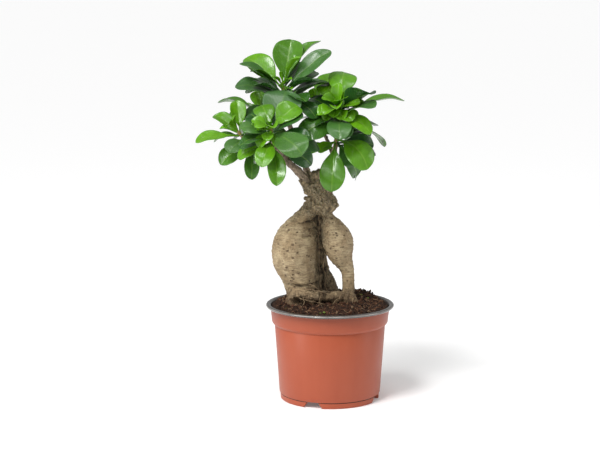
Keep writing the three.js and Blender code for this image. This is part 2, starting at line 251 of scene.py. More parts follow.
class Finish:
    """A material in the making, with one Principled shader."""

    def __init__(self, name, **constants):
        self.material = bpy.data.materials.new(name)
        self.material.use_nodes = True
        self.tree = self.material.node_tree
        self.shader = self.tree.nodes["Principled BSDF"]
        for key, value in constants.items():
            self.shader.inputs[key.replace("_", " ")].default_value = value
        self.place = self.node("ShaderNodeTexCoord", output="Object")

    def feed(self, socket, value):
        if isinstance(value, Wire):
            self.tree.links.new(value.socket, socket)
        elif socket.type == "RGBA":
            socket.default_value = (*tuple(value)[:3], 1)
        else:
            socket.default_value = value

    def node(self, kind, settings=None, sockets=None, output=0):
        node = self.tree.nodes.new(kind)
        for key, value in (settings or {}).items():
            setattr(node, key, value)
        for key, value in (sockets or {}).items():
            self.feed(node.inputs[key], value)
        return Wire(self, node.outputs[output])

    def attribute(self, name):
        return self.node("ShaderNodeAttribute", {"attribute_name": name}, output="Fac")

    def part(self, vector, axis):
        return self.node("ShaderNodeSeparateXYZ", {}, {"Vector": vector}, output=axis)

    def spread(self, size, stretch, shift):
        """Object coordinates in shares of size, drawn out by stretch and moved by shift."""
        scale = tuple(1 / (size * s) for s in stretch)
        sockets = {"Vector": self.place, "Scale": scale, "Location": shift}
        return self.node("ShaderNodeMapping", {}, sockets)

    def noise(self, size, detail=3.0, roughness=0.55, stretch=(1, 1, 1), seed=0.0):
        """Noise with features about size metres across, drawn out by stretch."""
        moved = self.spread(size, stretch, (seed, seed * 0.7, seed * 1.3))
        sockets = {"Vector": moved, "Scale": 1.0, "Detail": detail, "Roughness": roughness}
        return self.node("ShaderNodeTexNoise", {}, sockets)

    def spots(self, size, stretch=(1, 1, 1), seed=0.0):
        """Distance from the nearest of many scattered points, in shares of size."""
        sockets = {"Vector": self.spread(size, stretch, (seed, seed, seed)), "Scale": 1.0}
        return self.node("ShaderNodeTexVoronoi", {}, sockets, output="Distance")

    def mix(self, amount, first, second):
        """first where amount is 0 and second where it is 1."""
        return self.node(
            "ShaderNodeMix", {"data_type": "RGBA"}, {0: amount, 6: first, 7: second}, output=2
        )

    def layered(self, base, *layers):
        """The base colour with each (amount, colour) laid over it in turn."""
        for amount, tint in layers:
            base = self.mix(amount, base, tint)
        return base

    def ramp(self, value, *stops):
        """A colour for each value, from (value, colour) stops."""
        graded = self.node("ShaderNodeValToRGB", {}, {"Fac": value}, output="Color")
        ramp = graded.socket.node.color_ramp
        while len(ramp.elements) < len(stops):
            ramp.elements.new(1)
        for element, (position, tint) in zip(ramp.elements, stops):
            element.position = position
            element.color = (*tint, 1)
        return graded

    def surface(self, base, roughness, height=None, relief=0.001):
        """The material, with its colour, roughness and, in metres, its relief."""
        self.feed(self.shader.inputs["Base Color"], base)
        self.feed(self.shader.inputs["Roughness"], roughness)
        if height is not None:
            bump = self.node("ShaderNodeBump", {}, {"Height": height, "Distance": relief})
            self.feed(self.shader.inputs["Normal"], bump)
        return self.material


# ---------------------------------------------------------------- sizes and colours


def length(name, description, millimetres):
    return FloatProperty(
        name=name, description=description, default=millimetres * MM, unit="LENGTH", precision=5
    )


def colour(name, description, value):
    return FloatVectorProperty(
        name=name, description=description, default=value, subtype="COLOR", size=3, min=0, max=1
    )


def share(name, description, value):
    return FloatProperty(name=name, description=description, default=value, subtype="FACTOR")


class PotSettings(bpy.types.PropertyGroup):
    wall: length("Wall", "Thickness of the pot's wall", 1.2)
    rim_radius: length("Rim radius", "Outside of the rolled rim", 60)
    rim_roll: length("Rim roll", "Thickness of the rolled rim", 3)
    rim_reach: length("Rim reach", "How far the roll stands out from the collar", 4.4)
    collar: length("Collar", "Height of the collar under the rim", 16)
    step: length("Step", "How far the wall steps in under the collar", 2.4)
    taper: length("Taper", "How far the wall narrows to its foot", 4.4)
    foot_height: length("Foot height", "Clear height under the floor", 5.4)
    foot_width: length("Foot width", "Radial width of the foot ring", 4.8)
    foot_inset: length("Foot inset", "How far the foot ring stands in from the wall", 0.7)
    hole_radius: length("Hole radius", "Radius of a drainage hole", 4)
    sides: IntProperty(name="Sides", description="Facets round the pot", default=128)
    clay: colour("Outside", "Colour of the outer layer", (0.338, 0.067, 0.0255))
    lining: colour("Inside", "Colour of the inner layer and the rim", (0.06, 0.055, 0.05))


class SoilSettings(bpy.types.PropertyGroup):
    below_rim: length("Below rim", "How far the soil's edge lies below the rim", 2.4)
    mound: length("Mound", "How far the soil rises to the trunk", 4.5)
    lump: length("Lumps", "Height of the soil's lumps", 1.5)
    crumbs: IntProperty(name="Crumbs", description="Number of loose crumbs", default=1300)
    fibres: IntProperty(name="Fibres", description="Number of peat fibres", default=380)
    seed: IntProperty(name="Seed", description="Which scatter of crumbs is drawn", default=7)
    dark: colour("Dark peat", "Colour of wet peat", (0.012, 0.007, 0.005))
    light: colour("Light peat", "Colour of drier, redder peat", (0.10, 0.043, 0.021))


class WoodSettings(bpy.types.PropertyGroup):
    voxel: length("Voxel", "Size of the trunk's finest shape", 0.75)
    twig_voxel: length("Twig voxel", "Size of the branches' finest shape", 0.45)
    skin: colour("Skin", "Colour of the smooth swollen roots", (0.36, 0.26, 0.145))
    pale: colour("Pale skin", "Colour of the skin's lightest patches", (0.52, 0.41, 0.25))
    bark: colour("Bark", "Colour of the rough bark", (0.35, 0.29, 0.185))
    # This dark colour also paints the shade in the trunk's hollows and creases.
    scar_and_shade: colour("Scar", "Colour of hollows and pits", (0.025, 0.015, 0.009))
    twig: colour("Twig", "Colour of a branch's bark", (0.22, 0.165, 0.115))
    shoot: colour("Shoot", "Colour of a shoot's young end", (0.20, 0.20, 0.05))


class LeafSettings(bpy.types.PropertyGroup):
    thickness: length("Thickness", "Thickness of a blade", 0.5)
    stalk: length("Stalk", "Thickness of a stalk", 1.5)
    groove: length("Groove", "Depth of the groove over the midrib", 0.55)
    fold: share("Fold", "How steeply a blade folds up from its midrib at most", 0.26)
    wave: share("Wave", "Waviness of the margin, as a share of the width", 0.035)
    young: colour("Young leaf", "Colour of a leaf that has just grown", (0.125, 0.345, 0.003))
    grown: colour("Grown leaf", "Colour of an old leaf", (0.013, 0.072, 0.013))
    under: colour("Underside", "Colour of a leaf's underside", (0.09, 0.185, 0.045))
    vein: colour("Vein", "Colour of the midrib", (0.20, 0.36, 0.05))


class StageSettings(bpy.types.PropertyGroup):
    lens: FloatProperty(name="Lens", description="Focal length in millimetres", default=96.75)
    distance: length("Distance", "From the camera to what it looks at", 1500)
    pitch: FloatProperty(
        name="Pitch", description="How far down the camera looks", default=0.158, subtype="ANGLE"
    )
    aim: FloatVectorProperty(
        name="Aim",
        description="The point that the camera looks at",
        default=(-0.02807, 0.0, 0.16394),
        subtype="TRANSLATION",
        unit="LENGTH",
        precision=5,
    )
    floor: colour("Floor", "Colour of the floor", (0.93, 0.93, 0.93))
    room: FloatProperty(name="Room light", description="Strength of the even light", default=0.32)
    key: FloatProperty(name="Key light", description="Strength of the main light", default=1.4)
    spark: FloatProperty(name="Spark", description="Strength of the narrow light", default=1.15)


SETTINGS = {
    "bonsai_pot": PotSettings,
    "bonsai_soil": SoilSettings,
    "bonsai_wood": WoodSettings,
    "bonsai_leaf": LeafSettings,
    "bonsai_stage": StageSettings,
}


# ---------------------------------------------------------------- materials


def moulded_plastic(name, tint):
    """The pot's outer layer: even, slightly glossy, with faint flow bands from the mould, and
    painted shade on the collar under the rim.
    """
    finish = Finish(name, IOR=1.42, Coat_Weight=0.08, Coat_Roughness=0.35)
    bands = finish.noise(0.012, 2, 0.5, stretch=(1, 1, 12))
    cloud = finish.noise(0.03, 4, 0.6, seed=3)
    dust = finish.noise(0.0016, 4, 0.7, seed=9)
    grain = finish.noise(0.0006, 3, 0.6, seed=5)
    warm = tuple(c * f for c, f in zip(tint, (1.12, 1.2, 1.25)))
    cool = tuple(c * f for c, f in zip(tint, (0.9, 0.82, 0.8)))
    base = finish.layered(
        finish.mix(bands * 0.6 + cloud * 0.4, warm, cool),
        (dust.between(0.62, 0.8) * 0.10, (0.35, 0.2, 0.13)),
        # Painted shade on the collar, darker towards the rim as if in the rim's shadow.
        (finish.attribute("thin") * 0.45, scaled(tint, 0.45)),
    )
    return finish.surface(base, cloud * 0.12 + 0.36, grain * 0.5 + bands, 0.00004)


def rim_plastic(name, tint):
    """The inner layer that shows on the rolled rim: dark, smooth and glossy, with light scuffs and
    a painted highlight along the top of the roll.
    """
    finish = Finish(name, IOR=1.55, Coat_Weight=0.7, Coat_Roughness=0.1)
    cloud = finish.noise(0.008, 4, 0.6)
    scuff = finish.noise(0.0009, 4, 0.7, stretch=(3, 3, 1), seed=4)
    # Painted highlight along the top of the roll.
    crest = finish.attribute("crest") * (cloud * 0.9 + 0.35)
    base = finish.layered(
        finish.mix(cloud, scaled(tint, 0.8), scaled(tint, 1.5)),
        (scuff.between(0.6, 0.78) * 0.35, (0.30, 0.28, 0.26)),
        (crest.between(0.1, 0.9) * 0.7, (0.34, 0.31, 0.285)),
    )
    return finish.surface(base, cloud * 0.12 + 0.16, scuff, 0.00002)


def peat(name, dark, light, reach=1.0, tinted=False):
    """Lumpy brown peat; where it is tinted, each crumb has a colour of its own."""
    finish = Finish(name, Specular_IOR_Level=0.25)
    lumps = finish.noise(0.004, 5, 0.65)
    grit = finish.noise(0.0009, 5, 0.75, seed=6)
    warm = finish.noise(0.0023, 3, 0.6, seed=2)
    pale = finish.spots(0.0021, seed=5)
    middle = tuple(0.6 * a + 0.25 * b for a, b in zip(dark, light))
    base = finish.layered(
        finish.ramp(lumps * 0.45 + grit * 0.55, (0.36, dark), (0.52, middle), (0.68, light)),
        (warm.between(0.58, 0.75) * 0.5 * reach, (0.14, 0.05, 0.024)),
        (pale.between(0.0, 0.22, 1, 0) * grit.between(0.5, 0.6) * 0.5, (0.27, 0.18, 0.1)),
    )
    if tinted:
        tint = finish.attribute("tint")
        base = finish.layered(
            base,
            (tint.between(0.6, 0.95) * 0.6, (0.14, 0.058, 0.03)),
            (tint.between(0.94, 0.97), (0.22, 0.14, 0.08)),
        )
    return finish.surface(base, grit * 0.25 + 0.68, lumps * 0.6 + grit, 0.0009)


def root_bark(name, wood):
    """Smooth tan skin with fine rings and pits, turning to rough brown bark, with painted shade in
    its hollows and creases and towards the soil.
    """
    finish = Finish(name, Specular_IOR_Level=0.3)
    rough = finish.attribute("rough")
    hollow = finish.attribute("hollow")
    cloud = finish.noise(0.016, 4, 0.6)
    mottle = finish.noise(0.0035, 5, 0.7, seed=2)
    rings = finish.noise(0.0013, 4, 0.7, stretch=(7, 7, 1), seed=8)
    fine_rings = finish.noise(0.0006, 3, 0.7, stretch=(9, 9, 1), seed=4)
    grit = finish.noise(0.0012, 6, 0.8, seed=12)
    streaks = finish.noise(0.0012, 4, 0.7, stretch=(1, 1, 5), seed=15)
    pits = finish.spots(0.0036, stretch=(1.35, 1.35, 0.85), seed=3)
    pit_here = finish.noise(0.014, 3, 0.6, seed=20).between(0.42, 0.56)
    pit = (pits + mottle * 0.3 - 0.15).between(0.13, 0.33, 1, 0) * pit_here
    plates = finish.spots(0.0025, stretch=(1.1, 1.1, 1.3), seed=9)
    crack = (plates + grit * 1.1 + mottle * 0.8 - 0.95).between(0.38, 0.7)
    skin = finish.layered(
        finish.mix(cloud.between(0.35, 0.65), wood.skin, wood.pale),
        (rings.between(0.48, 0.62) * 0.6, scaled(wood.skin, 0.5)),
        (fine_rings.between(0.5, 0.62) * 0.35, scaled(wood.skin, 0.55)),
        (mottle.between(0.52, 0.72) * 0.4, scaled(wood.skin, 0.66)),
        (streaks.between(0.5, 0.62) * cloud.between(0.55, 0.42) * 0.5, scaled(wood.skin, 0.45)),
        (pit * 0.85, scaled(wood.scar_and_shade, 4.5)),
    )
    bark = finish.ramp(
        grit * 0.4 + mottle * 0.25 + streaks * 0.35,
        (0.41, scaled(wood.bark, 0.32)),
        (0.47, scaled(wood.bark, 1.25)),
        (0.55, scaled(wood.skin, 1.8)),
    )
    bark = finish.mix(crack * 0.5, bark, scaled(wood.bark, 0.2))
    # Painted shade: the skin darkens towards the soil, as in the shadow under the surface root.
    low = finish.part(finish.place, "Z").between(0.095, 0.113, 0.65, 0)
    base = finish.layered(
        skin,
        ((rough + mottle * 0.5 - 0.25).between(0.2, 0.8), bark),
        (low, (0.15, 0.075, 0.035)),
        # Painted shade in the trunk's hollows and creases; on the stubs, random dark patches.
        (hollow * 0.9, wood.scar_and_shade),
    )
    height = rings * 0.9 + fine_rings * 0.5 + mottle * 0.5 - pit * 1.2
    height = height * (1 - rough * 0.6) + (grit * 1.4 - crack) * (rough * 1.5 + 0.2)
    return finish.surface(base, mottle * 0.2 + 0.62, height, 0.0015)


def twig_bark(name, wood):
    """Speckled brown bark that turns green towards a shoot's young end."""
    finish = Finish(name, Specular_IOR_Level=0.35)
    young = finish.attribute("young")
    grit = finish.noise(0.0011, 5, 0.7)
    cloud = finish.noise(0.005, 4, 0.6, seed=3)
    spots = finish.spots(0.0017, seed=8)
    base = finish.ramp(
        grit * 0.5 + cloud * 0.5,
        (0.35, scaled(wood.twig, 0.4)),
        (0.5, wood.twig),
        (0.66, scaled(wood.twig, 1.9)),
    )
    green = finish.mix(cloud, wood.shoot, (0.24, 0.13, 0.05))
    base = finish.layered(
        base, (spots.between(0.1, 0.25, 0.5, 0), scaled(wood.twig, 2.4)), (young, green)
    )
    return finish.surface(base, 0.68 - young * 0.25, (grit + cloud) * (1.1 - young), 0.0007)


def blade_map(finish):
    """How far a point lies from the midrib and along the blade, in shares of the blade."""
    uv = finish.node("ShaderNodeUVMap", {"uv_map": "UVMap"})
    return (finish.part(uv, "X") - 0.5).math("ABSOLUTE"), finish.part(uv, "Y")


def leaf_upper(name, leaf):
    """Glossy, darker with age, with a pale midrib and faint side veins, and on some leaves a dull
    waxy coat with a painted grey-green sheen.
    """
    finish = Finish(name, IOR=1.45, Coat_Weight=0.1, Coat_Roughness=0.12)
    tone, shade, bloom = (finish.attribute(key) for key in ("tone", "shade", "bloom"))
    off, along = blade_map(finish)
    midrib = off.between(0.006, 0.028, 1, 0)
    rib_glow = off.between(0.0, 0.12, 1, 0)
    side = ((along * 2.0 - off * 1.5) * 8.5).math("FRACT")
    veins = (side - 0.5).math("ABSOLUTE").between(0.03, 0.13, 1, 0) * off.between(0.02, 0.08)
    cloud = finish.noise(0.011, 4, 0.55)
    patch = finish.noise(0.004, 3, 0.6, seed=5)
    fresh = finish.mix(cloud, scaled(leaf.young, 0.8), scaled(leaf.young, 1.25))
    old = finish.mix(cloud, scaled(leaf.grown, 0.7), scaled(leaf.grown, 1.45))
    base = finish.layered(
        finish.mix(tone, fresh, old),
        (shade * 0.35, finish.mix(tone, (0.07, 0.22, 0.003), (0.006, 0.03, 0.008))),
        (patch.between(0.4, 0.7) * 0.2, scaled(leaf.grown, 0.6)),
        (rib_glow * 0.22, leaf.vein),
        (veins * 0.14, leaf.vein),
        (midrib * (0.6 - tone * 0.25), leaf.vein),
        # A dull waxy coat, with a painted grey-green sheen of reflected light.
        (bloom * 0.8, (0.057, 0.132, 0.046)),
    )
    height = veins * -0.35 + patch * 0.6 + cloud * 0.8
    return finish.surface(base, cloud * 0.1 + bloom * 0.15 + 0.17, height, 0.00014)


def leaf_under(name, leaf):
    """Paler and duller than the upper side, with a raised midrib."""
    finish = Finish(name, IOR=1.45, Specular_IOR_Level=0.3)
    off, _ = blade_map(finish)
    midrib = off.between(0.012, 0.04, 1, 0)
    cloud = finish.noise(0.009, 4, 0.55)
    grain = finish.noise(0.0008, 3, 0.6, seed=2)
    base = finish.layered(
        finish.mix(cloud, scaled(leaf.under, 0.85), scaled(leaf.under, 1.15)),
        (finish.attribute("tone") * 0.6, scaled(leaf.grown, 2.2)),
        (midrib * 0.6, leaf.vein),
    )
    return finish.surface(base, cloud * 0.1 + 0.42, midrib + grain * 0.2, 0.0002)


# ---------------------------------------------------------------- the pot

# Notches in the foot ring and drainage holes, where the first of each lies, and the raised middle.
NOTCHES = 4
HOLES = 8
FIRST_TURN = math.radians(-111)
CENTRE_RADIUS = 14 * MM


def turned_on_axis(name, profile, sides):
    """A closed profile of [radius, height] turned about the Z axis: a ring is extruded along it."""
    (at_radius, at_height), *rest = profile
    bpy.ops.mesh.primitive_circle_add(
        vertices=sides, radius=at_radius, location=(0, 0, at_height), fill_type="NOTHING"
    )
    piece = added(name)
    settle(piece)
    with editing(piece, "SELECT"):
        for radius, height in rest:
            rise = (0, 0, height - at_height)
            bpy.ops.mesh.extrude_region_move(TRANSFORM_OT_translate={"value": rise})
            grow = radius / at_radius
            bpy.ops.transform.resize(value=(grow, grow, 1), center_override=(0, 0, height))
            at_radius, at_height = radius, height
    return piece


def close_end(piece, radius, height):
    """Fills the ring at that radius and height to its middle."""
    co = points_of(piece)
    off = np.abs([np.hypot(co[:, 0], co[:, 1]) - radius, co[:, 2] - height])
    ring = (off < 1e-5).all(axis=0)
    piece.data.vertices.foreach_set("select", ring)
    piece.data.polygons.foreach_set("select", [False] * len(piece.data.polygons))
    for edge in piece.data.edges:
        edge.select = all(ring[v] for v in edge.vertices)
    with editing(piece):
        bpy.ops.mesh.select_mode(type="EDGE")
        bpy.ops.mesh.edge_face_add()
        bpy.ops.mesh.select_mode(type="VERT")


def pot_profile(pot, top):
    """Outside from the foot up, over the roll, and down the inside, as [radius, height]."""
    collar = pot.rim_radius - pot.rim_reach
    under_rim = top - pot.rim_roll
    step_low = under_rim - pot.collar
    step_high = step_low + pot.step
    wall_top = collar - pot.step - 1.4 * MM
    base = wall_top - pot.taper
    foot = base - pot.foot_inset
    floor = pot.foot_height + pot.wall
    soft = 0.45 * MM
    outside = [
        [foot - pot.foot_width, pot.foot_height],
        [foot - pot.foot_width, soft],
        [foot - pot.foot_width + soft, 0],
        [foot - soft - 0.4 * MM, 0],
        [foot - 0.4 * MM, soft],
        [foot - 0.1 * MM, pot.foot_height - 0.5 * MM],
        [foot - 0.9 * MM, pot.foot_height],
        [base - 0.4 * MM, pot.foot_height + 0.35 * MM],
        [base, pot.foot_height + pot.foot_inset + soft],
        [wall_top, step_low - 1.1 * MM],
        [wall_top - 0.35 * MM, step_low - 0.35 * MM],
        [wall_top + 0.75 * MM, step_low],
        [collar - 1.2 * MM - soft * 0.4, step_high - soft * 0.4],
        [collar - 1.2 * MM, step_high + soft * 0.6],
        [collar - 0.9 * MM, step_high + 4 * MM],
        [collar - 0.1 * MM, under_rim - 3 * MM],
        [collar, under_rim - 0.2 * MM],
    ]
    middle_radius = pot.rim_radius - pot.rim_reach * 0.52
    middle_height = top - pot.rim_roll * 0.5
    roll = [
        [
            middle_radius + math.cos(angle) * pot.rim_reach * 0.52,
            middle_height + math.sin(angle) * pot.rim_roll * 0.5,
        ]
        for angle in np.radians(np.arange(-100, 171, 18))
    ]
    inside = [
        [collar - pot.wall, under_rim],
        [collar - 1.2 * MM - pot.wall, step_high],
        [wall_top - pot.wall, step_low],
        [base - pot.wall - soft, floor + soft],
        [base - pot.wall - 2 * soft, floor],
    ]
    return [*outside, *roll, *inside], floor


def cut_away(piece, cutters):
    cutter = join(cutters, "cutter")
    apply_modifier(piece, "BOOLEAN", operation="DIFFERENCE", solver="EXACT", object=cutter)
    bpy.data.objects.remove(cutter)


def notch_cutters(pot, foot_radius):
    """Wedges with sloping sides, through the foot ring."""
    depth, half_turn = 9 * MM, math.radians(12)
    half_low = math.tan(half_turn) * foot_radius
    half_high = half_low - pot.foot_height * 0.8
    cutters = []
    for turn in range(NOTCHES):
        bpy.ops.mesh.primitive_cube_add(size=1, location=(foot_radius - depth / 3, 0, 0))
        cutter = added("notch")
        co = points_of(cutter)
        low = co[:, 2] < 0
        co[:, 0] *= depth
        co[:, 1] = np.sign(co[:, 1]) * np.where(low, half_low, half_high)
        co[:, 2] = np.where(low, -1 * MM, pot.foot_height - 0.02 * MM)
        move_points(cutter, co)
        angle = FIRST_TURN + math.tau * turn / NOTCHES
        cutter.matrix_world = Matrix.Rotation(angle, 4, "Z") @ cutter.matrix_world
        settle(cutter)
        cutters.append(cutter)
    return cutters


def hole_cutters(pot, circle):
    cutters = []
    for turn in range(HOLES):
        angle = FIRST_TURN + math.tau * turn / HOLES
        bpy.ops.mesh.primitive_cylinder_add(
            vertices=32,
            radius=pot.hole_radius,
            depth=6 * pot.wall,
            location=(circle * math.cos(angle), circle * math.sin(angle), pot.foot_height),
        )
        cutter = added("drain")
        settle(cutter)
        cutters.append(cutter)
    return cutters


def build_pot(pot):
    """A turned profile with a raised middle, notched and drilled, with a painted highlight along
    its rim's roll and painted shade on its collar.
    """
    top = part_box("nursery_pot")[1].z
    profile, floor = pot_profile(pot, top)
    foot_inner = profile[0][0]
    foot_outer = profile[3][0] + 0.4 * MM
    below = [
        [CENTRE_RADIUS - 0.4 * MM, 0],
        [CENTRE_RADIUS, 0.4 * MM],
        [CENTRE_RADIUS + 3 * MM, pot.foot_height],
    ]
    above = [[CENTRE_RADIUS + 2.4 * MM, floor], [CENTRE_RADIUS - 0.6 * MM, pot.wall]]
    piece = turned_on_axis("pot", [*below, *profile, *above], pot.sides)
    close_end(piece, *below[0])
    close_end(piece, *above[-1])
    face_outward(piece)
    cut_away(piece, notch_cutters(pot, foot_outer))
    cut_away(piece, hole_cutters(pot, foot_inner - 10 * MM))
    rounding = {"width": 0.25 * MM, "segments": 2, "angle_limit": math.radians(50)}
    apply_modifier(piece, "BEVEL", limit_method="ANGLE", **rounding)
    smooth_shading(piece, 35)
    outer = moulded_plastic("terracotta_plastic", pot.clay)
    inner = rim_plastic("dark_lining", pot.lining)
    finish_piece(piece, [outer, inner], ["nursery_pot"])
    co = points_of(piece)
    # A painted highlight along the top of the rim's roll.
    on_rim = np.hypot(co[:, 0], co[:, 1]) > pot.rim_radius - pot.rim_reach * 0.6
    crest = bell((co[:, 2] - top + 1.0 * MM) / (0.45 * MM)) * on_rim
    collar = pot.rim_radius - pot.rim_reach
    # Painted shade on the collar, darkest just under the rim.
    collar_foot = top - pot.rim_roll - pot.collar
    thin = smoothstep(collar_foot - 1 * MM, collar_foot + pot.collar, co[:, 2])
    store(piece, crest=crest, thin=thin)
    for face in piece.data.polygons:
        out = math.hypot(face.center.x, face.center.y)
        facing_in = face.normal.x * face.center.x + face.normal.y * face.center.y < -0.2 * out
        on_roll = face.center.z > top - pot.rim_roll + 0.2 * MM
        lined = (facing_in and face.center.z > floor) or (on_roll and out > collar - 2 * pot.wall)
        inner_floor = face.normal.z > 0.7 and pot.wall * 0.5 < face.center.z < floor + 0.5 * MM
        face.material_index = int(lined or inner_floor)


# ---------------------------------------------------------------- the soil

SOIL_DEPTH = 12 * MM

# Where the soil is heaped up: (x, y, half width, height), mm.
HEAPS = [(-4, -4, 36, 2.0), (26, 34, 21, 6.2), (-32, 30, 20, 2.0)]

# Green flecks of moss and liverwort: (x, y, radius), mm.
MOSS = [
    (27.5, 16, 1.7),
    (30, 18, 1.1),
    (-6, -46.5, 1.3),
    (-9.5, -45, 0.8),
    (36, 12, 1.0),
    (-41, -20, 0.8),
    (12, 41, 1.2),
    (-20, 44, 0.9),
]


def build_soil(soil, pot):
    """A disc of lumpy peat, carried down inside the pot."""
    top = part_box("nursery_pot")[1].z
    inside = pot.rim_radius - pot.rim_reach - pot.wall - 0.15 * MM
    bpy.ops.mesh.primitive_grid_add(x_subdivisions=170, y_subdivisions=170, size=2)
    piece = added("soil")
    co = points_of(piece)
    x, y = co[:, 0].copy(), co[:, 1].copy()
    co[:, 0] = x * np.sqrt(1 - y * y / 2) * inside
    co[:, 1] = y * np.sqrt(1 - x * x / 2) * inside
    share = np.hypot(co[:, 0], co[:, 1]) / inside
    edge = smoothstep(1.0, 0.93, share)
    flat = co * [1, 1, 0]
    lumps = noise_at(flat, 0.011, 3.1) * 0.7 + noise_at(flat, 0.0042, 8.2, 3) * 0.75
    crumble = noise_at(flat, 0.0016, 5.5, 2)
    co[:, 2] = (
        top
        - soil.below_rim
        + soil.mound * (1 - share * share)
        + edge * (soil.lump * lumps + 0.55 * MM * crumble)
        + (1 - edge) * 0.4 * MM * lumps
    )
    for *place, wide, tall in HEAPS:
        off = np.linalg.norm(co[:, :2] / MM - place, axis=1)
        co[:, 2] += tall * bell(off / wide) * MM
    move_points(piece, co)
    with editing(piece, "DESELECT"):
        bpy.ops.mesh.select_mode(type="EDGE")
        bpy.ops.mesh.select_non_manifold()
        bpy.ops.mesh.extrude_region_move(TRANSFORM_OT_translate={"value": (0, 0, -SOIL_DEPTH)})
        middle = (0, 0, top - 22 * MM)
        bpy.ops.transform.resize(value=(0.93, 0.93, 0), center_override=middle)
        bpy.ops.mesh.edge_face_add()
        bpy.ops.mesh.select_mode(type="VERT")
    face_outward(piece)
    smooth_shading(piece)
    finish_piece(piece, [peat("peat", soil.dark, soil.light)], ["potting_soil"])
    return piece


def height_of_soil(soil_piece):
    """A function that gives the soil's height at any place on its top."""
    co = points_of(soil_piece)
    top = co[co[:, 2] > co[:, 2].max() - SOIL_DEPTH]
    cell = 1 * MM
    table = {}
    for x, y, z in top:
        key = (round(x / cell), round(y / cell))
        table[key] = max(z, table.get(key, -1))
    usual = float(top[:, 2].mean())

    def height(x, y):
        return table.get((round(x / cell), round(y / cell)), usual)

    return height


def random_place(reach, random):
    """A place within reach of the pot's axis."""
    out = reach * math.sqrt(random.random())
    turn = random.random() * math.tau
    return out * math.cos(turn), out * math.sin(turn)


def scatter_crumbs(soil, pot, height, random):
    """Crumbs of peat: one rough lump, copied with its own turn, size and dents."""
    inside = pot.rim_radius - pot.rim_reach - pot.wall
    bpy.ops.mesh.primitive_ico_sphere_add(subdivisions=1, radius=1)
    lump = added("lump")
    shape = points_of(lump)
    crumbs = []
    for _ in range(soil.crumbs):
        size = 0.5 * MM + 1.6 * MM * random.random() ** 2.8
        x, y = random_place(inside - 2.2 * size, random)
        crumb = lump.copy()
        crumb.data = lump.data.copy()
        dents = 1 + (random.random((len(shape), 1)) - 0.5) * 0.7
        stretch = np.array([1, 0.6 + 0.5 * random.random(), 0.5 + 0.4 * random.random()])
        turn = Matrix.Rotation(random.random() * math.tau, 3, random.random(3) + 0.01)
        turned = shape * dents * stretch * size @ np.array(turn)
        move_points(crumb, turned + [x, y, height(x, y) + size * 0.25])
        store(crumb, tint=random.random())
        bpy.context.scene.collection.objects.link(crumb)
        crumbs.append(crumb)
    bpy.data.objects.remove(lump)
    piece = join(crumbs, "peat_crumbs")
    finish_piece(piece, [peat("crumb_peat", soil.dark, soil.light, 1.5, True)])


def strands(name, lines, thickness):
    """Thin strands along lines of points; thickness is a radius for each line."""
    curve = bpy.data.curves.new(name, "CURVE")
    curve.dimensions = "3D"
    curve.bevel_depth = 1.0
    curve.bevel_resolution = 1
    curve.use_fill_caps = True
    for line, radius in zip(lines, thickness):
        spline = curve.splines.new("POLY")
        spline.points.add(len(line) - 1)
        for k, (point, location) in enumerate(zip(spline.points, line)):
            point.co = (*location, 1)
            point.radius = radius * (1 - 0.45 * k / len(line))
    piece = bpy.data.objects.new(name, curve)
    bpy.context.scene.collection.objects.link(piece)
    activate(piece)
    bpy.ops.object.convert(target="MESH")
    piece = added(name)
    smooth_shading(piece)
    return piece


def scatter_fibres(soil, pot, height, random):
    """Peat fibres that wander over the soil and end at the pot's wall."""
    inside = pot.rim_radius - pot.rim_reach - pot.wall - 3 * MM
    lines, thickness = [], []
    for _ in range(soil.fibres):
        x, y = random_place(inside, random)
        heading = random.random() * math.tau
        bend = (random.random() - 0.5) * 0.9
        step = (0.5 + 1.3 * random.random()) * MM
        line = []
        for k in range(8):
            x += step * math.cos(heading)
            y += step * math.sin(heading)
            heading += bend + (random.random() - 0.5) * 0.7
            if math.hypot(x, y) > inside:
                break
            lift = math.sin(k / 7 * math.pi) * (0.3 + random.random() * 1.2) * MM
            line.append((x, y, height(x, y) + 0.15 * MM + lift))
        if len(line) > 2:
            lines.append(line)
            thickness.append((0.12 + 0.2 * random.random() ** 2) * MM)
    piece = strands("peat_fibres", lines, thickness)
    finish = Finish("fibre", Specular_IOR_Level=0.25)
    tint = finish.noise(0.006, 3, 0.6)
    browns = (0.4, (0.06, 0.025, 0.014)), (0.52, (0.20, 0.09, 0.045)), (0.66, (0.45, 0.31, 0.18))
    base = finish.ramp(tint, *browns)
    finish_piece(piece, [finish.surface(base, 0.8, tint, 0.0002)])


def scatter_moss(height):
    """Green flecks, dented and flattened onto the soil."""
    flecks = []
    for k, (x, y, radius) in enumerate(MOSS):
        bpy.ops.mesh.primitive_ico_sphere_add(subdivisions=3, radius=radius * MM)
        fleck = added(f"fleck_{k}")
        co = points_of(fleck)
        co *= 1 + 0.4 * noise_at(co, 0.0009, k * 3.3)[:, None]
        co[:, 2] *= 0.55
        x, y = x * MM, y * MM
        move_points(fleck, co + [x, y, height(x, y) + 0.3 * MM])
        flecks.append(fleck)
    piece = join(flecks, "moss_flecks")
    smooth_shading(piece)
    finish = Finish("moss", Specular_IOR_Level=0.3)
    tint = finish.noise(0.0008, 4, 0.7)
    base = finish.mix(tint, (0.05, 0.10, 0.012), (0.26, 0.34, 0.06))
    finish_piece(piece, [finish.surface(base, 0.7, tint, 0.0004)])


# ---------------------------------------------------------------- the wood

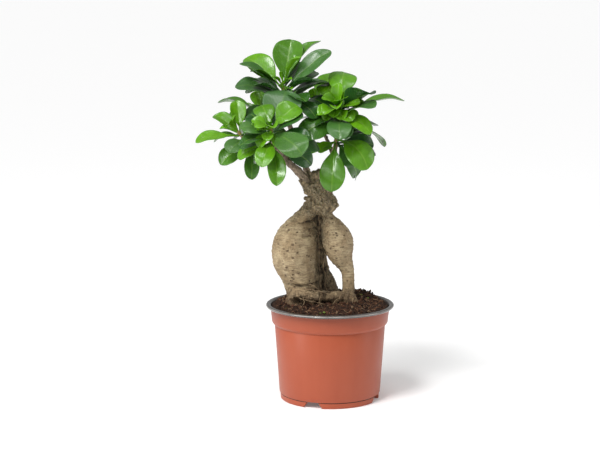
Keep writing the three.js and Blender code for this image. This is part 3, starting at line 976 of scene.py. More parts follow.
# Knobs and ridges that stand out of the trunk: (foot, tip, radius at foot, radius at tip), mm.
KNOBS = [
    ((-17, -6, 200), (-26.5, -8, 205.5), 4.2, 2.0),
    ((-16, -7, 196), (-23.5, -9, 197.5), 4.4, 2.6),
    ((-15, -4, 205), (-21, -5, 219), 1.7, 0.7),
    ((3, -7, 184), (6.2, -9.5, 178.5), 4.6, 3.4),
    ((-4, -8, 190), (-2, -13, 187), 4.6, 3.2),
    ((-12, -8, 184), (-12, -12.5, 181), 4.8, 3.6),
    ((-20, -8, 176), (-22, -13, 172), 6.5, 5.0),
    ((-2, -12, 172), (0, -15.5, 170), 4.2, 3.0),
    ((14.5, -9, 103), (11.5, -13.5, 95), 2.8, 1.8),
    ((20, -9, 101), (22.5, -9, 92), 2.2, 1.4),
    ((-27, -12, 99), (-30, -17, 88), 4.0, 2.6),
    ((-36, -3, 98), (-42, -2, 88), 3.6, 2.2),
    ((-18, -12, 100), (-16, -21, 92), 5.0, 3.0),
    ((6, -14, 99), (3, -18, 92), 4.0, 3.0),
    ((-7.5, 0, 122), (-10, -3, 100), 4.4, 5.5),
    ((-36, -18, 102), (-25, -24.5, 103), 3.4, 3.8),
    ((-25, -24.5, 103), (-12, -27, 101), 3.8, 3.2),
    ((-12, -27, 101), (2, -23, 100), 3.2, 3.4),
    ((-8, 1, 140), (-9, -2, 124), 4.2, 3.8),
]

# Where the trunk's front swells (+) or sinks (-): (x, z, half width, half height, depth), mm.
SWELLS = [
    (-41, 134, 15, 25, 4.0),
    (-30, 112, 12, 12, 1.5),
    (-16, 166, 12, 8, -5.0),
    (-22, 158, 9, 5, -2.0),
    (6, 142, 10, 18, 3.0),
    (8, 172, 9, 6, -1.5),
]

# Stubs of old twigs: (foot, tip, radius at foot, radius at tip), mm.
STUBS = [
    ((-20, -4, 194), (-28.7, -7, 207.5), 2.6, 1.1),
    ((-18, -7, 212), (-21.5, -9, 223), 1.2, 0.5),
    ((-19, -6, 189), (-24, -8, 190.5), 2.8, 1.6),
    ((2, -5, 187), (6.2, -6, 181.5), 3.4, 2.4),
    ((-9, -5, 205), (-7.5, -7, 216), 1.6, 0.8),
    ((-14, 8, 200), (-17, 13, 209), 2.2, 1.2),
]

# Hollows on the trunk's front: (x, z, half width, half height, depth), mm.
HOLLOWS = [
    (-19.5, 168.0, 7.5, 1.2, 2.2),
    (-17.0, 161.5, 5.4, 1.0, 1.6),
    (-21.0, 155.5, 5.6, 0.9, 1.5),
    (-26.0, 163.5, 5.0, 1.3, 1.0),
    (-5.0, 172.0, 4.2, 1.6, 2.0),
    (-1.5, 169.0, 2.6, 2.2, 1.6),
    (-11.5, 171.0, 2.4, 4.0, 2.2),
    (-2.0, 196.0, 2.0, 5.0, 1.4),
    (-15.0, 191.0, 2.0, 6.0, 1.3),
    (-42.0, 118.0, 3.0, 1.6, 0.7),
    (-46.0, 134.0, 2.6, 1.2, 0.6),
    (14.0, 108.5, 2.5, 1.1, 0.7),
    (17.5, 116.0, 3.0, 0.9, 0.6),
    (-31.0, 110.5, 9.0, 1.3, 2.0),
    (-16.0, 110.0, 9.0, 1.2, 2.0),
    (-2.0, 106.5, 7.0, 1.1, 1.6),
    (-27.0, 95.0, 12.0, 1.6, 1.8),
    (-24.5, 203.0, 2.0, 4.0, 1.6),
    (-20.5, 196.0, 1.8, 4.5, 1.6),
    (-6.0, 94.0, 10.0, 1.5, 1.6),
]


def tapered_rod(foot, tip, foot_radius, tip_radius):
    foot, tip = Vector(foot) * MM, Vector(tip) * MM
    way = tip - foot
    radii = {"radius1": foot_radius * MM, "radius2": tip_radius * MM}
    bpy.ops.mesh.primitive_cone_add(vertices=16, depth=way.length, **radii)
    rod = added("rod")
    rod.matrix_world = Matrix.LocRotScale((foot + tip) / 2, way.to_track_quat("Z", "Y"), None)
    settle(rod)
    return rod


def remesh(piece, voxel_size, smoothings):
    """Blends the piece's parts into one skin of even facets, and smooths it."""
    apply_modifier(piece, "REMESH", mode="VOXEL", voxel_size=voxel_size, adaptivity=0)
    apply_modifier(piece, "SMOOTH", factor=0.5, iterations=smoothings)


def shift_out(piece, co, normals, millimetres):
    move_points(piece, co + normals * millimetres[:, None] * MM)


def patch_bell(across, height, x, z, wide, tall):
    """A soft oval patch, from 1 at its middle to 0."""
    return bell(np.hypot((across - x) / wide, (height - z) / tall))


def build_trunk(wood):
    """The swollen roots and trunk: blended into one skin, then wrinkled, scarred and roughened."""
    piece = copy_of_node("trunk_and_roots", "trunk")
    piece = join([piece, *(tapered_rod(*knob) for knob in KNOBS)], "trunk")
    remesh(piece, wood.voxel, 22)

    # The seam between the two great roots, the swellings, and the waist over and under them.
    co, normals = points_of(piece), normals_of(piece)
    height = co[:, 2] / MM
    facing = smoothstep(0.25, -0.25, normals[:, 1]) * smoothstep(0.002, -0.004, co[:, 1])
    seam = np.interp(height, [92, 120, 150, 172, 182], [-6, -7.5, -9.5, -11, -11])
    off_seam = co[:, 0] / MM - seam
    span = smoothstep(184, 168, height) * smoothstep(90, 104, height) * facing
    co[:, 1] += (6.0 * bell(off_seam / 3.3) + 4.0 * bell(off_seam / 10)) * span * MM
    for *patch, depth in SWELLS:
        co[:, 1] -= depth * patch_bell(co[:, 0] / MM, height, *patch) * facing * MM
    left, right = smoothstep(-10, -20, off_seam), smoothstep(8, 15, off_seam)
    co[:, 0] += 4.4 * bell((height - 172) / 12) * left * MM
    co[:, 0] += 2.8 * bell((height - 110) / 9) * left * MM
    co[:, 0] -= 4.0 * bell((height - 175) / 11) * right * MM
    move_points(piece, co)
    apply_modifier(piece, "SMOOTH", factor=0.5, iterations=4)

    # Where the bark is rough, and how far each point of it stands out or in.
    co, normals = points_of(piece), normals_of(piece)
    across = co[:, 0] / MM
    behind = smoothstep(-0.012, -0.006, co[:, 1])
    rear = behind * bell(across / 11) * smoothstep(138, 120, height)
    ragged = 5 * noise_at(co, 0.009, 14.2, 2)
    neck = smoothstep(161, 180, height + ragged - 0.25 * np.abs(off_seam))
    foot = smoothstep(112, 98, height)
    crease = bell(off_seam / 4.5) * span
    patches = smoothstep(0.15, 0.8, noise_at(co, 0.022, 4.4, 2))
    rough = np.clip(neck + foot * 0.75 + crease * 0.9 + patches * 0.2 + rear, 0, 1)
    lumps = noise_at(co, 0.017, 1.7)
    knots = noise_at(co, 0.0062, 6.1, 2)
    plates = noise_at(co * [1, 1, 0.55], 0.0030, 9.3, 3)
    rings = noise_at(co * [0.16, 0.16, 1], 0.0022, 2.2, 2)
    shift = (
        0.7 * lumps
        + (0.25 + 1.0 * rough) * knots * 0.55
        + rough * plates * 1.25
        + (1 - rough) * rings * 0.34
    )
    # Each of the HOLLOWS also gets painted shade, darker the deeper it is.
    hollow = np.zeros(len(co))
    front = smoothstep(-0.1, -0.6, normals[:, 1]) * smoothstep(0.004, -0.002, co[:, 1])
    for *patch, depth in HOLLOWS:
        spot = patch_bell(across, height, *patch) * front
        shift -= depth * spot
        hollow = np.maximum(hollow, spot * min(1, depth / 2) * 0.7)
    shift_out(piece, co, normals, shift)

    # Painted shade: darker in the hollows, in the crease and on the root behind, and wherever the
    # finished skin lies low.
    cavity = cavity_of(piece, 24) / MM
    rough = np.clip(rough + smoothstep(0.15, 0.8, cavity) * 0.4, 0, 1)
    sunk = smoothstep(0.35, 0.95, hollow) * 0.8 + smoothstep(0.35, 1.7, cavity) * 0.85
    hollow = np.clip(np.clip(sunk, 0, 1) * 0.85 + crease * 0.05 + rear * 0.45, 0, 1)
    store(piece, rough=rough, hollow=hollow)
    smooth_shading(piece)
    finish_piece(piece, [root_bark("root_bark", wood)], ["trunk_and_roots"])


def build_stubs(wood):
    piece = join([tapered_rod(*stub) for stub in STUBS], "stubs")
    remesh(piece, wood.twig_voxel, 3)
    co = points_of(piece)
    shift = 0.5 * noise_at(co, 0.0035, 5.2, 2) + 0.25 * noise_at(co, 0.0014, 1.2, 2)
    shift_out(piece, co, normals_of(piece), shift)
    # On the stubs this layer holds random dark patches.
    store(piece, rough=1, hollow=0.35 * smoothstep(-0.2, 0.6, noise_at(co, 0.003, 3.3)))
    smooth_shading(piece)
    finish_piece(piece, [bpy.data.materials["root_bark"]])


# Thin roots that hang or lie on the trunk's front, as points in mm, each with its radius in mm.
ROOTLETS = [
    (0.2, [(-10.2, -13.5, 178), (-10.8, -15.5, 170), (-10.2, -16.6, 162), (-11, -17.5, 154),
           (-10.6, -17.6, 147)]),
    (0.2, [(-11.5, -17, 150), (-9.8, -16, 140), (-10.4, -14, 128), (-8.8, -13, 118),
           (-9.6, -15, 106)]),
    (0.24, [(-8.2, -12, 136), (-5.5, -11, 131), (-6.5, -9, 124), (-3.5, -8, 117),
            (-4.5, -10, 108), (-1, -13, 101)]),
    (0.55, [(-34, -18, 106), (-27, -24, 109), (-19, -26.5, 108), (-11, -26, 106.5),
            (-3, -24.5, 104), (3, -22, 99)]),
    (0.45, [(-36, -15, 103), (-30, -24, 100), (-22, -28.5, 98), (-13, -29, 96.5), (-5, -28, 95)]),
    (0.4, [(-20, -20, 112), (-14, -22, 110), (-9, -21, 105), (-6, -22, 98)]),
    (0.5, [(19, -13, 104), (21.5, -15, 99), (20.5, -18, 94), (23, -21, 91)]),
    (0.42, [(14, -13.5, 103), (10, -17, 99), (5, -21, 97), (2, -25, 93)]),
    (0.36, [(-26, -25, 103), (-24, -29, 97), (-27, -33, 93), (-25, -37, 91)]),
    (0.3, [(-9, -25, 102), (-10, -29, 96), (-7, -34, 92.5)]),
]
ROOTLET_SEED = 3


def build_rootlets():
    """Thin wandering roots; the seed keeps their wobble the same on every run."""
    noise.seed_set(ROOTLET_SEED)
    lines, thickness = [], []
    for k, (radius, stations) in enumerate(ROOTLETS):
        points = np.array(stations) * MM
        steps = np.linspace(0, len(points) - 1, 8 * len(points))
        places = range(len(points))
        line = np.stack([np.interp(steps, places, points[:, axis]) for axis in range(3)], 1)
        for _ in range(4):
            line[1:-1] = (line[:-2] + line[2:] + 2 * line[1:-1]) / 4
        wobble = [noise.noise_vector(Vector(p) / 0.0045 + Vector((k, 0, 0))) for p in line]
        lines.append([tuple(p) for p in line + np.array(wobble) * 0.9 * MM])
        thickness.append(radius * MM)
    piece = strands("rootlets", lines, thickness)
    finish = Finish("rootlet", Specular_IOR_Level=0.3)
    tint = finish.noise(0.003, 4, 0.6)
    base = finish.ramp(tint, (0.38, (0.07, 0.042, 0.022)), (0.62, (0.30, 0.21, 0.12)))
    finish_piece(piece, [finish.surface(base, 0.75, tint, 0.0003)])


# Leaves turn their upper sides up and a little to the front.
UPPER_SIDE = np.array([0, -0.34, 0.94])


def leaf_poses():
    """Each CAD leaf's foot, directions, length, width, arch and cup, read from its solid."""
    poses = {}
    for name in LEAF_NODES:
        co = points_of(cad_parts[name])
        foot = co[np.argmax(np.linalg.norm(co - co.mean(axis=0), axis=1))]
        tip = co[np.argmax(np.linalg.norm(co - foot, axis=1))]
        size = np.linalg.norm(tip - foot)
        along = (tip - foot) / size
        flat = (co - foot) - np.outer((co - foot) @ along, along)
        across = np.linalg.eigh(np.cov(flat.T))[1][:, -1]
        across -= along * (across @ along)
        across /= np.linalg.norm(across)
        up = np.cross(across, along)
        if up @ UPPER_SIDE < 0:
            up = -up
        across = np.cross(along, up)
        s, x, h = (co - foot) @ along / size, (co - foot) @ across, (co - foot) @ up
        half = np.abs(x).max()
        basis = np.stack([4 * s * (1 - s), x * x / half * np.minimum(1, 2 * s)], axis=1)
        (rise, cup), *_ = np.linalg.lstsq(basis, h, rcond=None)
        poses[name] = {
            "foot": foot, "along": along, "across": across, "up": up,
            "length": size, "half": half, "rise": rise, "cup": cup,
        }
    return poses


def build_branch(node, wood, feet, tips):
    """A branch copied, knobbed at its old leaf scars, and greener towards its shoots' tips."""
    piece = copy_of_node(node, node.replace("branch", "limb"))
    remesh(piece, wood.twig_voxel, 8)
    co = points_of(piece)
    from_tip = np.min([np.linalg.norm(co - tip, axis=1) for tip in tips], axis=0) / MM
    young = smoothstep(34, 12, from_tip)
    knots = noise_at(co, 0.006, 2.3, 2)
    grit = noise_at(co, 0.0021, 7.9, 2)
    shift = (0.75 * knots + 0.35 * grit) * (1 - 0.75 * young)
    for foot in feet:
        shift += 0.55 * bell(np.linalg.norm(co - foot, axis=1) / (1.5 * MM))
    shift_out(piece, co, normals_of(piece), shift)
    store(piece, young=young)
    smooth_shading(piece)
    finish_piece(piece, [bpy.data.materials["twig_bark"]], [node])


# ---------------------------------------------------------------- the leaves

# How old each leaf looks: 0 is a bright new leaf and 1 an old dark one.
TONES = {
    "top": (0.48, 0.12, 0.8, 0.85, 0.8, 0.85, 0.9, 0.9, 0.7),
    "right": (0.35, 0.18, 1.0, 0.42, 0.6, 0.72, 0.12, 0.75, 0.8, 0.5),
    "low_right": (0.36, 0.48, 0.8, 0.85, 0.85, 0.15),
    "front": (0.2, 0.3, 0.65, 0.85, 0.6, 0.25, 0.9, 0.35, 0.15, 0.95),
    "left": (0.12, 0.1, 0.35, 0.7, 0.65, 0.8, 0.6, 0.75),
    "back_left": (0.4, 0.6, 0.8, 0.8, 0.85, 0.85),
    "back_right": (0.35, 0.6, 0.8, 0.85, 0.85),
}

# How much dull waxy coat, with a painted grey-green sheen of reflected light, lies on a leaf; the
# others have none.
BLOOM_AND_SHEEN = {
    "leaf_front_4": 0.75, "leaf_front_3": 0.4, "leaf_front_5": 0.5, "leaf_front_7": 0.6,
    "leaf_right_5": 0.6, "leaf_right_6": 0.55, "leaf_left_4": 0.5, "leaf_left_5": 0.5,
    "leaf_top_3": 0.35, "leaf_top_6": 0.5,
}

# Where a blade differs from its solid: its length as a share of the solid's, and how far its
# middle rises and sweeps sideways, in mm.
EASED = {
    "leaf_front_4": (1.07, -1.4, 0),
    "leaf_front_1": (1.0, 1.0, 0),
    "leaf_low_right_1": (0.9, 0, -3),
}

# Half the blade's width along it, as shares of its widest half.
OUTLINE = [
    (0.0, 0.0), (0.05, 0.10), (0.12, 0.26), (0.22, 0.50), (0.35, 0.76), (0.48, 0.93),
    (0.60, 1.0), (0.72, 0.98), (0.82, 0.89), (0.90, 0.72), (0.95, 0.53), (0.985, 0.30),
    (1.0, 0.06),
]

# The stalk's share of a leaf's length.
STALK_SHARE = 0.14

# How many radians the margin's waves and the surface's ripples run through along a blade, and
# how far one leaf's waves are moved on from the last one's.
WAVES, RIPPLES = 7.5, 19
NEXT_PHASE = 2.399


def blade_width(share):
    places, widths = np.array(OUTLINE).T
    fine = np.linspace(0, 1, 201)
    rounded = np.interp(fine, places, widths)
    for _ in range(10):
        rounded[1:-1] = (rounded[:-2] + rounded[2:] + 2 * rounded[1:-1]) / 4
    return np.interp(share, fine, rounded)


def build_leaf(name, pose, tone, leaf, seed, bloom=0.0, rows=24, columns=12):
    """One leaf: a grid bent to its midrib and margin, thickened, and rounded."""
    bpy.ops.mesh.primitive_grid_add(x_subdivisions=columns, y_subdivisions=rows, size=2)
    piece = added(name)
    co = points_of(piece)
    across = np.sign(co[:, 0]) * np.abs(co[:, 0]) ** 1.35
    s = np.interp((co[:, 1] + 1) / 2, [0, 0.12, 0.7, 1], [0, STALK_SHARE, 0.84, 1])
    blade = np.clip((s - STALK_SHARE) / (1 - STALK_SHARE), 0, 1)
    on_blade = smoothstep(0.02, 0.16, blade)
    stalk_half = np.where(s < 0.5, leaf.stalk * 0.5, 0)
    half = np.maximum(blade_width(blade) * pose["half"], stalk_half)
    x = half * across
    phase = seed * NEXT_PHASE
    wave = leaf.wave * pose["half"] * 2 * on_blade * across**2
    wave *= np.sin(WAVES * blade + phase + 1.6 * np.sign(across))
    ripple = 0.010 * pose["half"] * on_blade * np.sin(RIPPLES * blade + 5 * across + phase)
    groove = leaf.groove * bell(x / (0.9 * MM)) * on_blade * (1 - 0.6 * blade)
    fold = leaf.fold * (0.5 + 0.5 * math.sin(seed * 1.7)) * (0.4 if pose["cup"] < 0.02 else 1)
    fold *= 1 - min(1, 1.4 * bloom)
    vee = fold * on_blade * (np.sqrt(x * x + (0.7 * MM) ** 2) - half * 0.2)
    arch = 4 * s * (1 - s)
    droop = 0.05 * pose["length"] * smoothstep(0.72, 1.0, s) ** 2
    cup = pose["cup"] * x * x / pose["half"] * np.minimum(1, 2 * s)
    height = pose["rise"] * arch + cup + wave + vee + ripple - groove - droop
    x = x + 0.03 * pose["length"] * math.sin(phase * 1.7) * blade**2
    x = x + pose.get("sweep", 0) * arch
    way = np.stack([s * pose["length"], x, height], axis=1)
    move_points(piece, pose["foot"] + way @ np.stack([pose["along"], pose["across"], pose["up"]]))
    thick = piece.vertex_groups.new(name="stalk")
    for index, weight in enumerate(1 - smoothstep(0.0, 0.22, blade)):
        thick.add([index], float(weight), "REPLACE")
    apply_modifier(
        piece,
        "SOLIDIFY",
        thickness=leaf.stalk,
        offset=0,
        vertex_group="stalk",
        thickness_vertex_group=leaf.thickness / leaf.stalk,
        material_offset=1,
        material_offset_rim=0,
    )
    piece.vertex_groups.clear()
    apply_modifier(piece, "SUBSURF", levels=1, render_levels=1)
    store(piece, tone=tone, bloom=bloom, shade=0.5 + 0.5 * math.sin(seed * 5.31 + 1.2))
    smooth_shading(piece)
    return piece


# Leaves that have no solid, the young ones at each shoot's tip first and then grown ones behind
# them: (distance below the tip, turn from the right towards the front, tilt from the shoot's own
# direction, length, half width, cup, tone), in mm and degrees.
YOUNG = {
    "top": [
        (6, 15, 36, 31, 4.6, 0.9, 0.12), (7, -30, 46, 55, 7.5, 0.5, 0.5),
        (6, 40, 62, 12, 3.2, 0.5, 0.05), (7, 150, 48, 14, 3.4, 0.6, 0.05),
        (5, 90, 12, 12, 2.2, 0.9, 0), (10, 170, 55, 34, 8, 0.3, 0.5),
        (14, 30, 70, 38, 9.5, 0.1, 0.9), (18, 150, 71, 34, 10, 0.1, 0.9),
        (20, 50, 92, 32, 10, 0.1, 0.85), (12, -40, 48, 40, 10, 0.1, 0.9),
        (16, -140, 62, 38, 10, 0.1, 0.9), (22, 0, 73, 36, 10, 0.1, 0.95),
        (12, 105, 62, 13, 3.8, 0.4, 0.1), (13, 62, 78, 15, 4.2, 0.4, 0.15),
    ],
    "right": [
        (6, 150, 70, 23, 6.5, 0.3, 0.05), (6, 60, 20, 14, 5, 0.5, 0),
        (7, 20, 82, 25, 6, 0.2, 0.1), (8, 142, 86, 19, 6.5, 0.3, 0.1),
        (6, 115, 78, 16, 6.5, 0.4, 0), (9, 45, 112, 20, 6, 0.2, 0.15),
        (5, 10, 40, 17, 5, 0.6, 0), (5, 190, 40, 18, 5.5, 0.6, 0.05),
        (8, 85, 88, 18, 6.5, 0.2, 0.1), (7, 130, 60, 24, 7.5, 0.4, 0.05),
        (7, 95, 48, 20, 6.5, 0.5, 0), (8, 35, 66, 25, 7, 0.3, 0.1),
        (9, 180, 81, 25, 7.5, 0.2, 0.12), (10, 70, 96, 22, 7.5, 0.2, 0.2),
        (6, -60, 30, 22, 6, 0.5, 0.05), (10, -20, 75, 28, 8, 0.3, 0.3),
        (16, 85, 112, 28, 9.5, 0.1, 0.85), (16, 150, 95, 32, 10, 0.1, 0.9),
        (18, 16, 105, 32, 9, 0.1, 0.9), (14, -60, 70, 34, 10, 0.1, 0.9),
        (20, -140, 80, 36, 10, 0.1, 0.95),
    ],
    "low_right": [
        (6, 150, 40, 16, 4.5, 0.4, 0.1), (6, 20, 34, 15, 4, 0.6, 0.05),
        (9, 150, 88, 20, 6.5, 0.2, 0.05), (11, 60, 110, 27, 9, 0, 0.85),
        (8, -90, 50, 30, 9, 0.1, 0.9), (12, 0, 95, 34, 10, 0.1, 0.95),
        (10, 45, 150, 41, 10.5, 0.1, 0.75),
    ],
    "front": [
        (6, 70, 40, 18, 5.5, 0.5, 0), (6, 150, 45, 20, 6, 0.4, 0),
        (7, 200, 60, 19, 5.5, 0.5, 0.05), (6, 20, 47, 17, 5, 0.5, 0.1),
        (8, 110, 80, 15, 5.5, 0.3, 0.05), (5, 90, 8, 11, 2.4, 0.9, 0),
        (8, 175, 72, 20, 5.5, 0.4, 0.05), (9, 130, 100, 20, 6, 0.2, 0.1),
        (10, 65, 105, 18, 6, 0.2, 0.15), (16, 40, 95, 26, 8, 0, 0.85),
        (16, 150, 80, 28, 8, 0.1, 0.8), (14, -30, 60, 34, 10, 0.1, 0.9),
        (20, 10, 85, 34, 10, 0.1, 0.95), (20, 180, 85, 30, 9, 0.1, 0.9),
        (18, -118, 70, 34, 10, 0.1, 0.95),
    ],
    "left": [
        (6, 90, 30, 16, 4.5, 0.6, 0), (6, 200, 34, 17, 4.5, 0.5, 0.05),
        (6, 0, 32, 16, 4, 0.6, 0.05), (12, 60, 90, 24, 7.5, 0.1, 0.7),
        (14, 8, 80, 28, 8, 0.1, 0.85), (16, -60, 70, 30, 9, 0.1, 0.9),
        (18, 110, 112, 26, 8, 0.1, 0.85), (10, -150, 60, 28, 7, 0.2, 0.6),
    ],
    "back_left": [
        (6, 90, 34, 20, 5.5, 0.5, 0.05), (6, 210, 40, 20, 5.5, 0.4, 0.1),
        (6, -30, 30, 18, 5, 0.5, 0.05), (14, 60, 77, 36, 10, 0.1, 0.9),
        (18, 160, 85, 34, 10, 0.1, 0.9), (20, 20, 95, 36, 10, 0.1, 0.95),
        (16, -80, 70, 34, 10, 0.1, 0.85),
    ],
    "back_right": [
        (6, 90, 34, 21, 6, 0.5, 0.05), (6, 210, 44, 20, 5.5, 0.4, 0.1),
        (6, -30, 32, 19, 5, 0.5, 0.05), (14, 120, 75, 36, 10, 0.1, 0.9),
        (18, 40, 85, 34, 10, 0.1, 0.9), (20, 170, 95, 36, 10, 0.1, 0.95),
        (16, -80, 70, 34, 10, 0.1, 0.85),
    ],
}


def shoot_of(name):
    """The shoot that bears a leaf, and which leaf of the shoot it is."""
    shoot, number = name[len("leaf_"):].rsplit("_", 1)
    return shoot, int(number)


def shoot_lines(poses):
    """Each shoot's own line from its bud's tip down, through the middle of its leaves' feet."""
    co = np.concatenate([points_of(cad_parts[branch]) for branch in BRANCH_NODES])
    lines = {}
    for shoot, tones in TONES.items():
        count = len(tones)
        feet = np.array([poses[f"leaf_{shoot}_{k + 1}"]["foot"] for k in range(count)])
        middles = [feet[max(0, k - 1) : k + 2].mean(axis=0) for k in range(count)]
        near = co[np.linalg.norm(co - feet[0], axis=1) < 11 * MM]
        tip = near[np.argmax(np.linalg.norm(near - feet[-3:].mean(axis=0), axis=1))]
        lines[shoot] = np.array([tip, *middles[1:]])
    return lines


def on_shoot(line, low):
    """The place and direction on a shoot's line, low mm below its tip."""
    steps = np.linalg.norm(np.diff(line, axis=0), axis=1)
    at = np.concatenate([[0], np.cumsum(steps)])

    def place(distance):
        return np.array([np.interp(distance, at, line[:, k]) for k in range(3)])

    low = min(low * MM, at[-1] - 2 * MM)
    way = place(max(0, low - 4 * MM)) - place(min(low + 4 * MM, at[-1]))
    return place(low), way / np.linalg.norm(way)


def young_pose(line, low, turn, tilt, size, half, cup):
    """Where a further leaf grows: it leans out from its shoot by its tilt."""
    foot, way = on_shoot(line, low)
    right = np.cross([0.0, 1.0, 0.0], way)
    right /= np.linalg.norm(right)
    front = np.cross(right, way)
    turn, tilt = math.radians(turn), math.radians(tilt)
    out = math.cos(turn) * right + math.sin(turn) * front
    along = math.cos(tilt) * way + math.sin(tilt) * out
    up = way - along * (way @ along)
    up = up / np.linalg.norm(up)
    return {
        "foot": foot + out * 0.6 * MM, "along": along, "across": np.cross(along, up), "up": up,
        "length": size * MM, "half": half * MM, "rise": 0.07 * size * MM, "cup": cup,
    }


# ---------------------------------------------------------------- operators


class BONSAI_OT_pot(bpy.types.Operator):
    """Build the nursery pot with its rolled rim, notched foot and drainage holes"""

    bl_idname = "bonsai.pot"
    bl_label = "Nursery Pot"

    def execute(self, context):
        build_pot(context.scene.bonsai_pot)
        return {"FINISHED"}


class BONSAI_OT_soil(bpy.types.Operator):
    """Fill the pot with lumpy peat, crumbs, fibres and moss"""

    bl_idname = "bonsai.soil"
    bl_label = "Soil"

    def execute(self, context):
        soil, pot = context.scene.bonsai_soil, context.scene.bonsai_pot
        height = height_of_soil(build_soil(soil, pot))
        random = np.random.default_rng(soil.seed)
        scatter_crumbs(soil, pot, height, random)
        scatter_fibres(soil, pot, height, random)
        scatter_moss(height)
        return {"FINISHED"}


class BONSAI_OT_trunk(bpy.types.Operator):
    """Build the swollen roots and trunk with their bark and rootlets"""

    bl_idname = "bonsai.trunk"
    bl_label = "Trunk and Roots"

    def execute(self, context):
        build_trunk(context.scene.bonsai_wood)
        build_stubs(context.scene.bonsai_wood)
        build_rootlets()
        return {"FINISHED"}


class BONSAI_OT_branches(bpy.types.Operator):
    """Build the grafted branches with their knobs and green ends"""

    bl_idname = "bonsai.branches"
    bl_label = "Branches"

    def execute(self, context):
        wood = context.scene.bonsai_wood
        twig_bark("twig_bark", wood)
        poses = leaf_poses()
        feet = [pose["foot"] for pose in poses.values()]
        tips = [line[0] for line in shoot_lines(poses).values()]
        for node in BRANCH_NODES:
            build_branch(node, wood, feet, tips)
        return {"FINISHED"}


class BONSAI_OT_leaves(bpy.types.Operator):
    """Grow every full-sized leaf in the place of its solid"""

    bl_idname = "bonsai.leaves"
    bl_label = "Leaves"

    def execute(self, context):
        leaf = context.scene.bonsai_leaf
        sides = [leaf_upper("leaf_upper", leaf), leaf_under("leaf_under", leaf)]
        for seed, (name, pose) in enumerate(leaf_poses().items()):
            shoot, number = shoot_of(name)
            tone, bloom = TONES[shoot][number - 1], BLOOM_AND_SHEEN.get(name, 0)
            longer, lift, sweep = EASED.get(name, (1, 0, 0))
            pose["length"] *= longer
            pose["rise"] += lift * MM
            pose["sweep"] = sweep * MM
            piece = build_leaf(name.replace("leaf", "blade"), pose, tone, leaf, seed, bloom)
            finish_piece(piece, sides, [name])
        return {"FINISHED"}


class BONSAI_OT_young_leaves(bpy.types.Operator):
    """Grow the young leaves at each shoot's tip and the further grown ones behind them"""

    bl_idname = "bonsai.young_leaves"
    bl_label = "Young Leaves"

    def execute(self, context):
        leaf = context.scene.bonsai_leaf
        sides = [bpy.data.materials["leaf_upper"], bpy.data.materials["leaf_under"]]
        for shoot, line in shoot_lines(leaf_poses()).items():
            for k, (*place, tone) in enumerate(YOUNG[shoot]):
                pose = young_pose(line, *place)
                name, seed = f"young_{shoot}_{k + 1}", 100 + 7 * k
                piece = build_leaf(name, pose, tone, leaf, seed, rows=16, columns=8)
                finish_piece(piece, sides)
        return {"FINISHED"}


class BONSAI_OT_stage(bpy.types.Operator):
    """Set up the floor, the soft studio light and the camera"""

    bl_idname = "bonsai.stage"
    bl_label = "Stage"

    def execute(self, context):
        build_stage(context.scene.bonsai_stage)
        return {"FINISHED"}


def lamp(kind, name, strength, location, forward, **settings):
    """A lamp that shines forward from its location."""
    light = bpy.data.lights.new(name, kind)
    light.energy = strength
    for key, value in settings.items():
        setattr(light, key, value)
    holder = bpy.data.objects.new(name, light)
    holder.location = location
    holder.rotation_euler = forward.to_track_quat("-Z", "Y").to_euler()
    bpy.context.scene.collection.objects.link(holder)


def sun(name, strength, forward, width):
    """Even light from one side, whose source looks width degrees wide."""
    lamp("SUN", name, strength, (0, 0, 0), Vector(forward), angle=math.radians(width))


def soft_box(name, location, target, size, power):
    """A rectangle of light that faces its target."""
    wide, tall = size
    forward = Vector(target) - Vector(location)
    lamp("AREA", name, power, location, forward, shape="RECTANGLE", size=wide, size_y=tall)


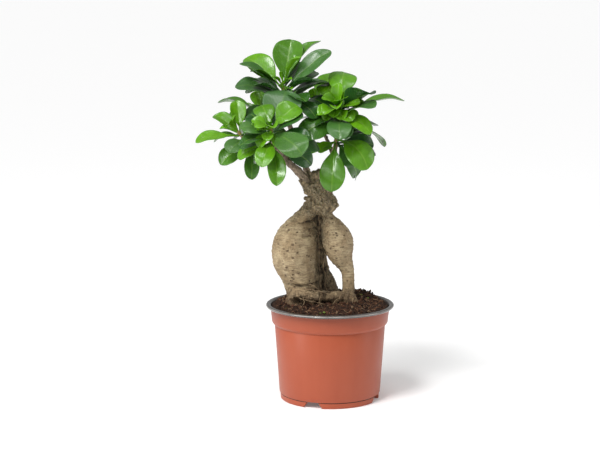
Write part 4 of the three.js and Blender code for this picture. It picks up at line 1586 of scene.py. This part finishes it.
def build_stage(stage):
    """The pale floor, the even room light, two suns, four soft boxes and the camera."""
    scene = bpy.context.scene
    scene.view_settings.view_transform = "Standard"
    bpy.ops.mesh.primitive_circle_add(
        vertices=96, radius=30, fill_type="NGON", location=(0, 0, -0.2 * MM)
    )
    floor = added("floor")
    settle(floor)
    finish = Finish("floor_paper", Specular_IOR_Level=0.2, Emission_Strength=0.13)
    finish.feed(finish.shader.inputs["Emission Color"], stage.floor)
    floor.data.materials.append(finish.surface(stage.floor, 0.9))
    world = bpy.data.worlds.new("studio")
    world.use_nodes = True
    background = world.node_tree.nodes["Background"]
    background.inputs["Color"].default_value = (1, 1, 1, 1)
    background.inputs["Strength"].default_value = stage.room
    scene.world = world
    sun("key", stage.key, (0.55, 0.52, -0.78), 38)
    sun("spark", stage.spark, (0.32, 0.5, -0.8), 15)
    middle, crown = (0, 0, 0.12), (0, 0, 0.25)
    soft_box("front_strip", (-0.1, -0.95, 0.95), middle, (1.7, 0.1), 2.6)
    soft_box("left_strip", (-0.8, -0.4, 0.25), middle, (0.2, 0.9), 3.0)
    soft_box("right_strip", (0.75, -0.12, 0.3), middle, (0.18, 0.9), 1.3)
    soft_box("top_box", (0.07, -0.11, 1.15), crown, (0.34, 0.2), 1.7)
    camera_data = bpy.data.cameras.new("camera")
    camera_data.lens = stage.lens
    camera = bpy.data.objects.new("camera", camera_data)
    forward = Vector((0, math.cos(stage.pitch), -math.sin(stage.pitch)))
    camera.location = Vector(stage.aim) - forward * stage.distance
    camera.rotation_euler = forward.to_track_quat("-Z", "Y").to_euler()
    scene.collection.objects.link(camera)
    scene.camera = camera


OPERATORS = [
    BONSAI_OT_stage,
    BONSAI_OT_pot,
    BONSAI_OT_soil,
    BONSAI_OT_trunk,
    BONSAI_OT_branches,
    BONSAI_OT_leaves,
    BONSAI_OT_young_leaves,
]


class BONSAI_PT_panel(bpy.types.Panel):
    """Lists the pieces and their sizes"""

    bl_idname = "BONSAI_PT_panel"
    bl_label = "Bonsai Fig"
    bl_space_type = "VIEW_3D"
    bl_region_type = "UI"
    bl_category = "Bonsai"

    def draw(self, context):
        for operator in OPERATORS:
            self.layout.operator(operator.bl_idname)
        for name, group in SETTINGS.items():
            box = self.layout.box()
            for key in group.__annotations__:
                box.prop(getattr(context.scene, name), key)


def register():
    for name, group in SETTINGS.items():
        bpy.utils.register_class(group)
        setattr(bpy.types.Scene, name, PointerProperty(type=group))
    for operator in OPERATORS:
        bpy.utils.register_class(operator)
    bpy.utils.register_class(BONSAI_PT_panel)


def unregister():
    bpy.utils.unregister_class(BONSAI_PT_panel)
    for operator in reversed(OPERATORS):
        bpy.utils.unregister_class(operator)
    for name, group in SETTINGS.items():
        delattr(bpy.types.Scene, name)
        bpy.utils.unregister_class(group)


def main():
    register()
    bpy.ops.bonsai.stage()
    bpy.ops.bonsai.pot()
    bpy.ops.bonsai.soil()
    bpy.ops.bonsai.trunk()
    bpy.ops.bonsai.branches()
    bpy.ops.bonsai.leaves()
    bpy.ops.bonsai.young_leaves()


if __name__ == "__main__":
    main()
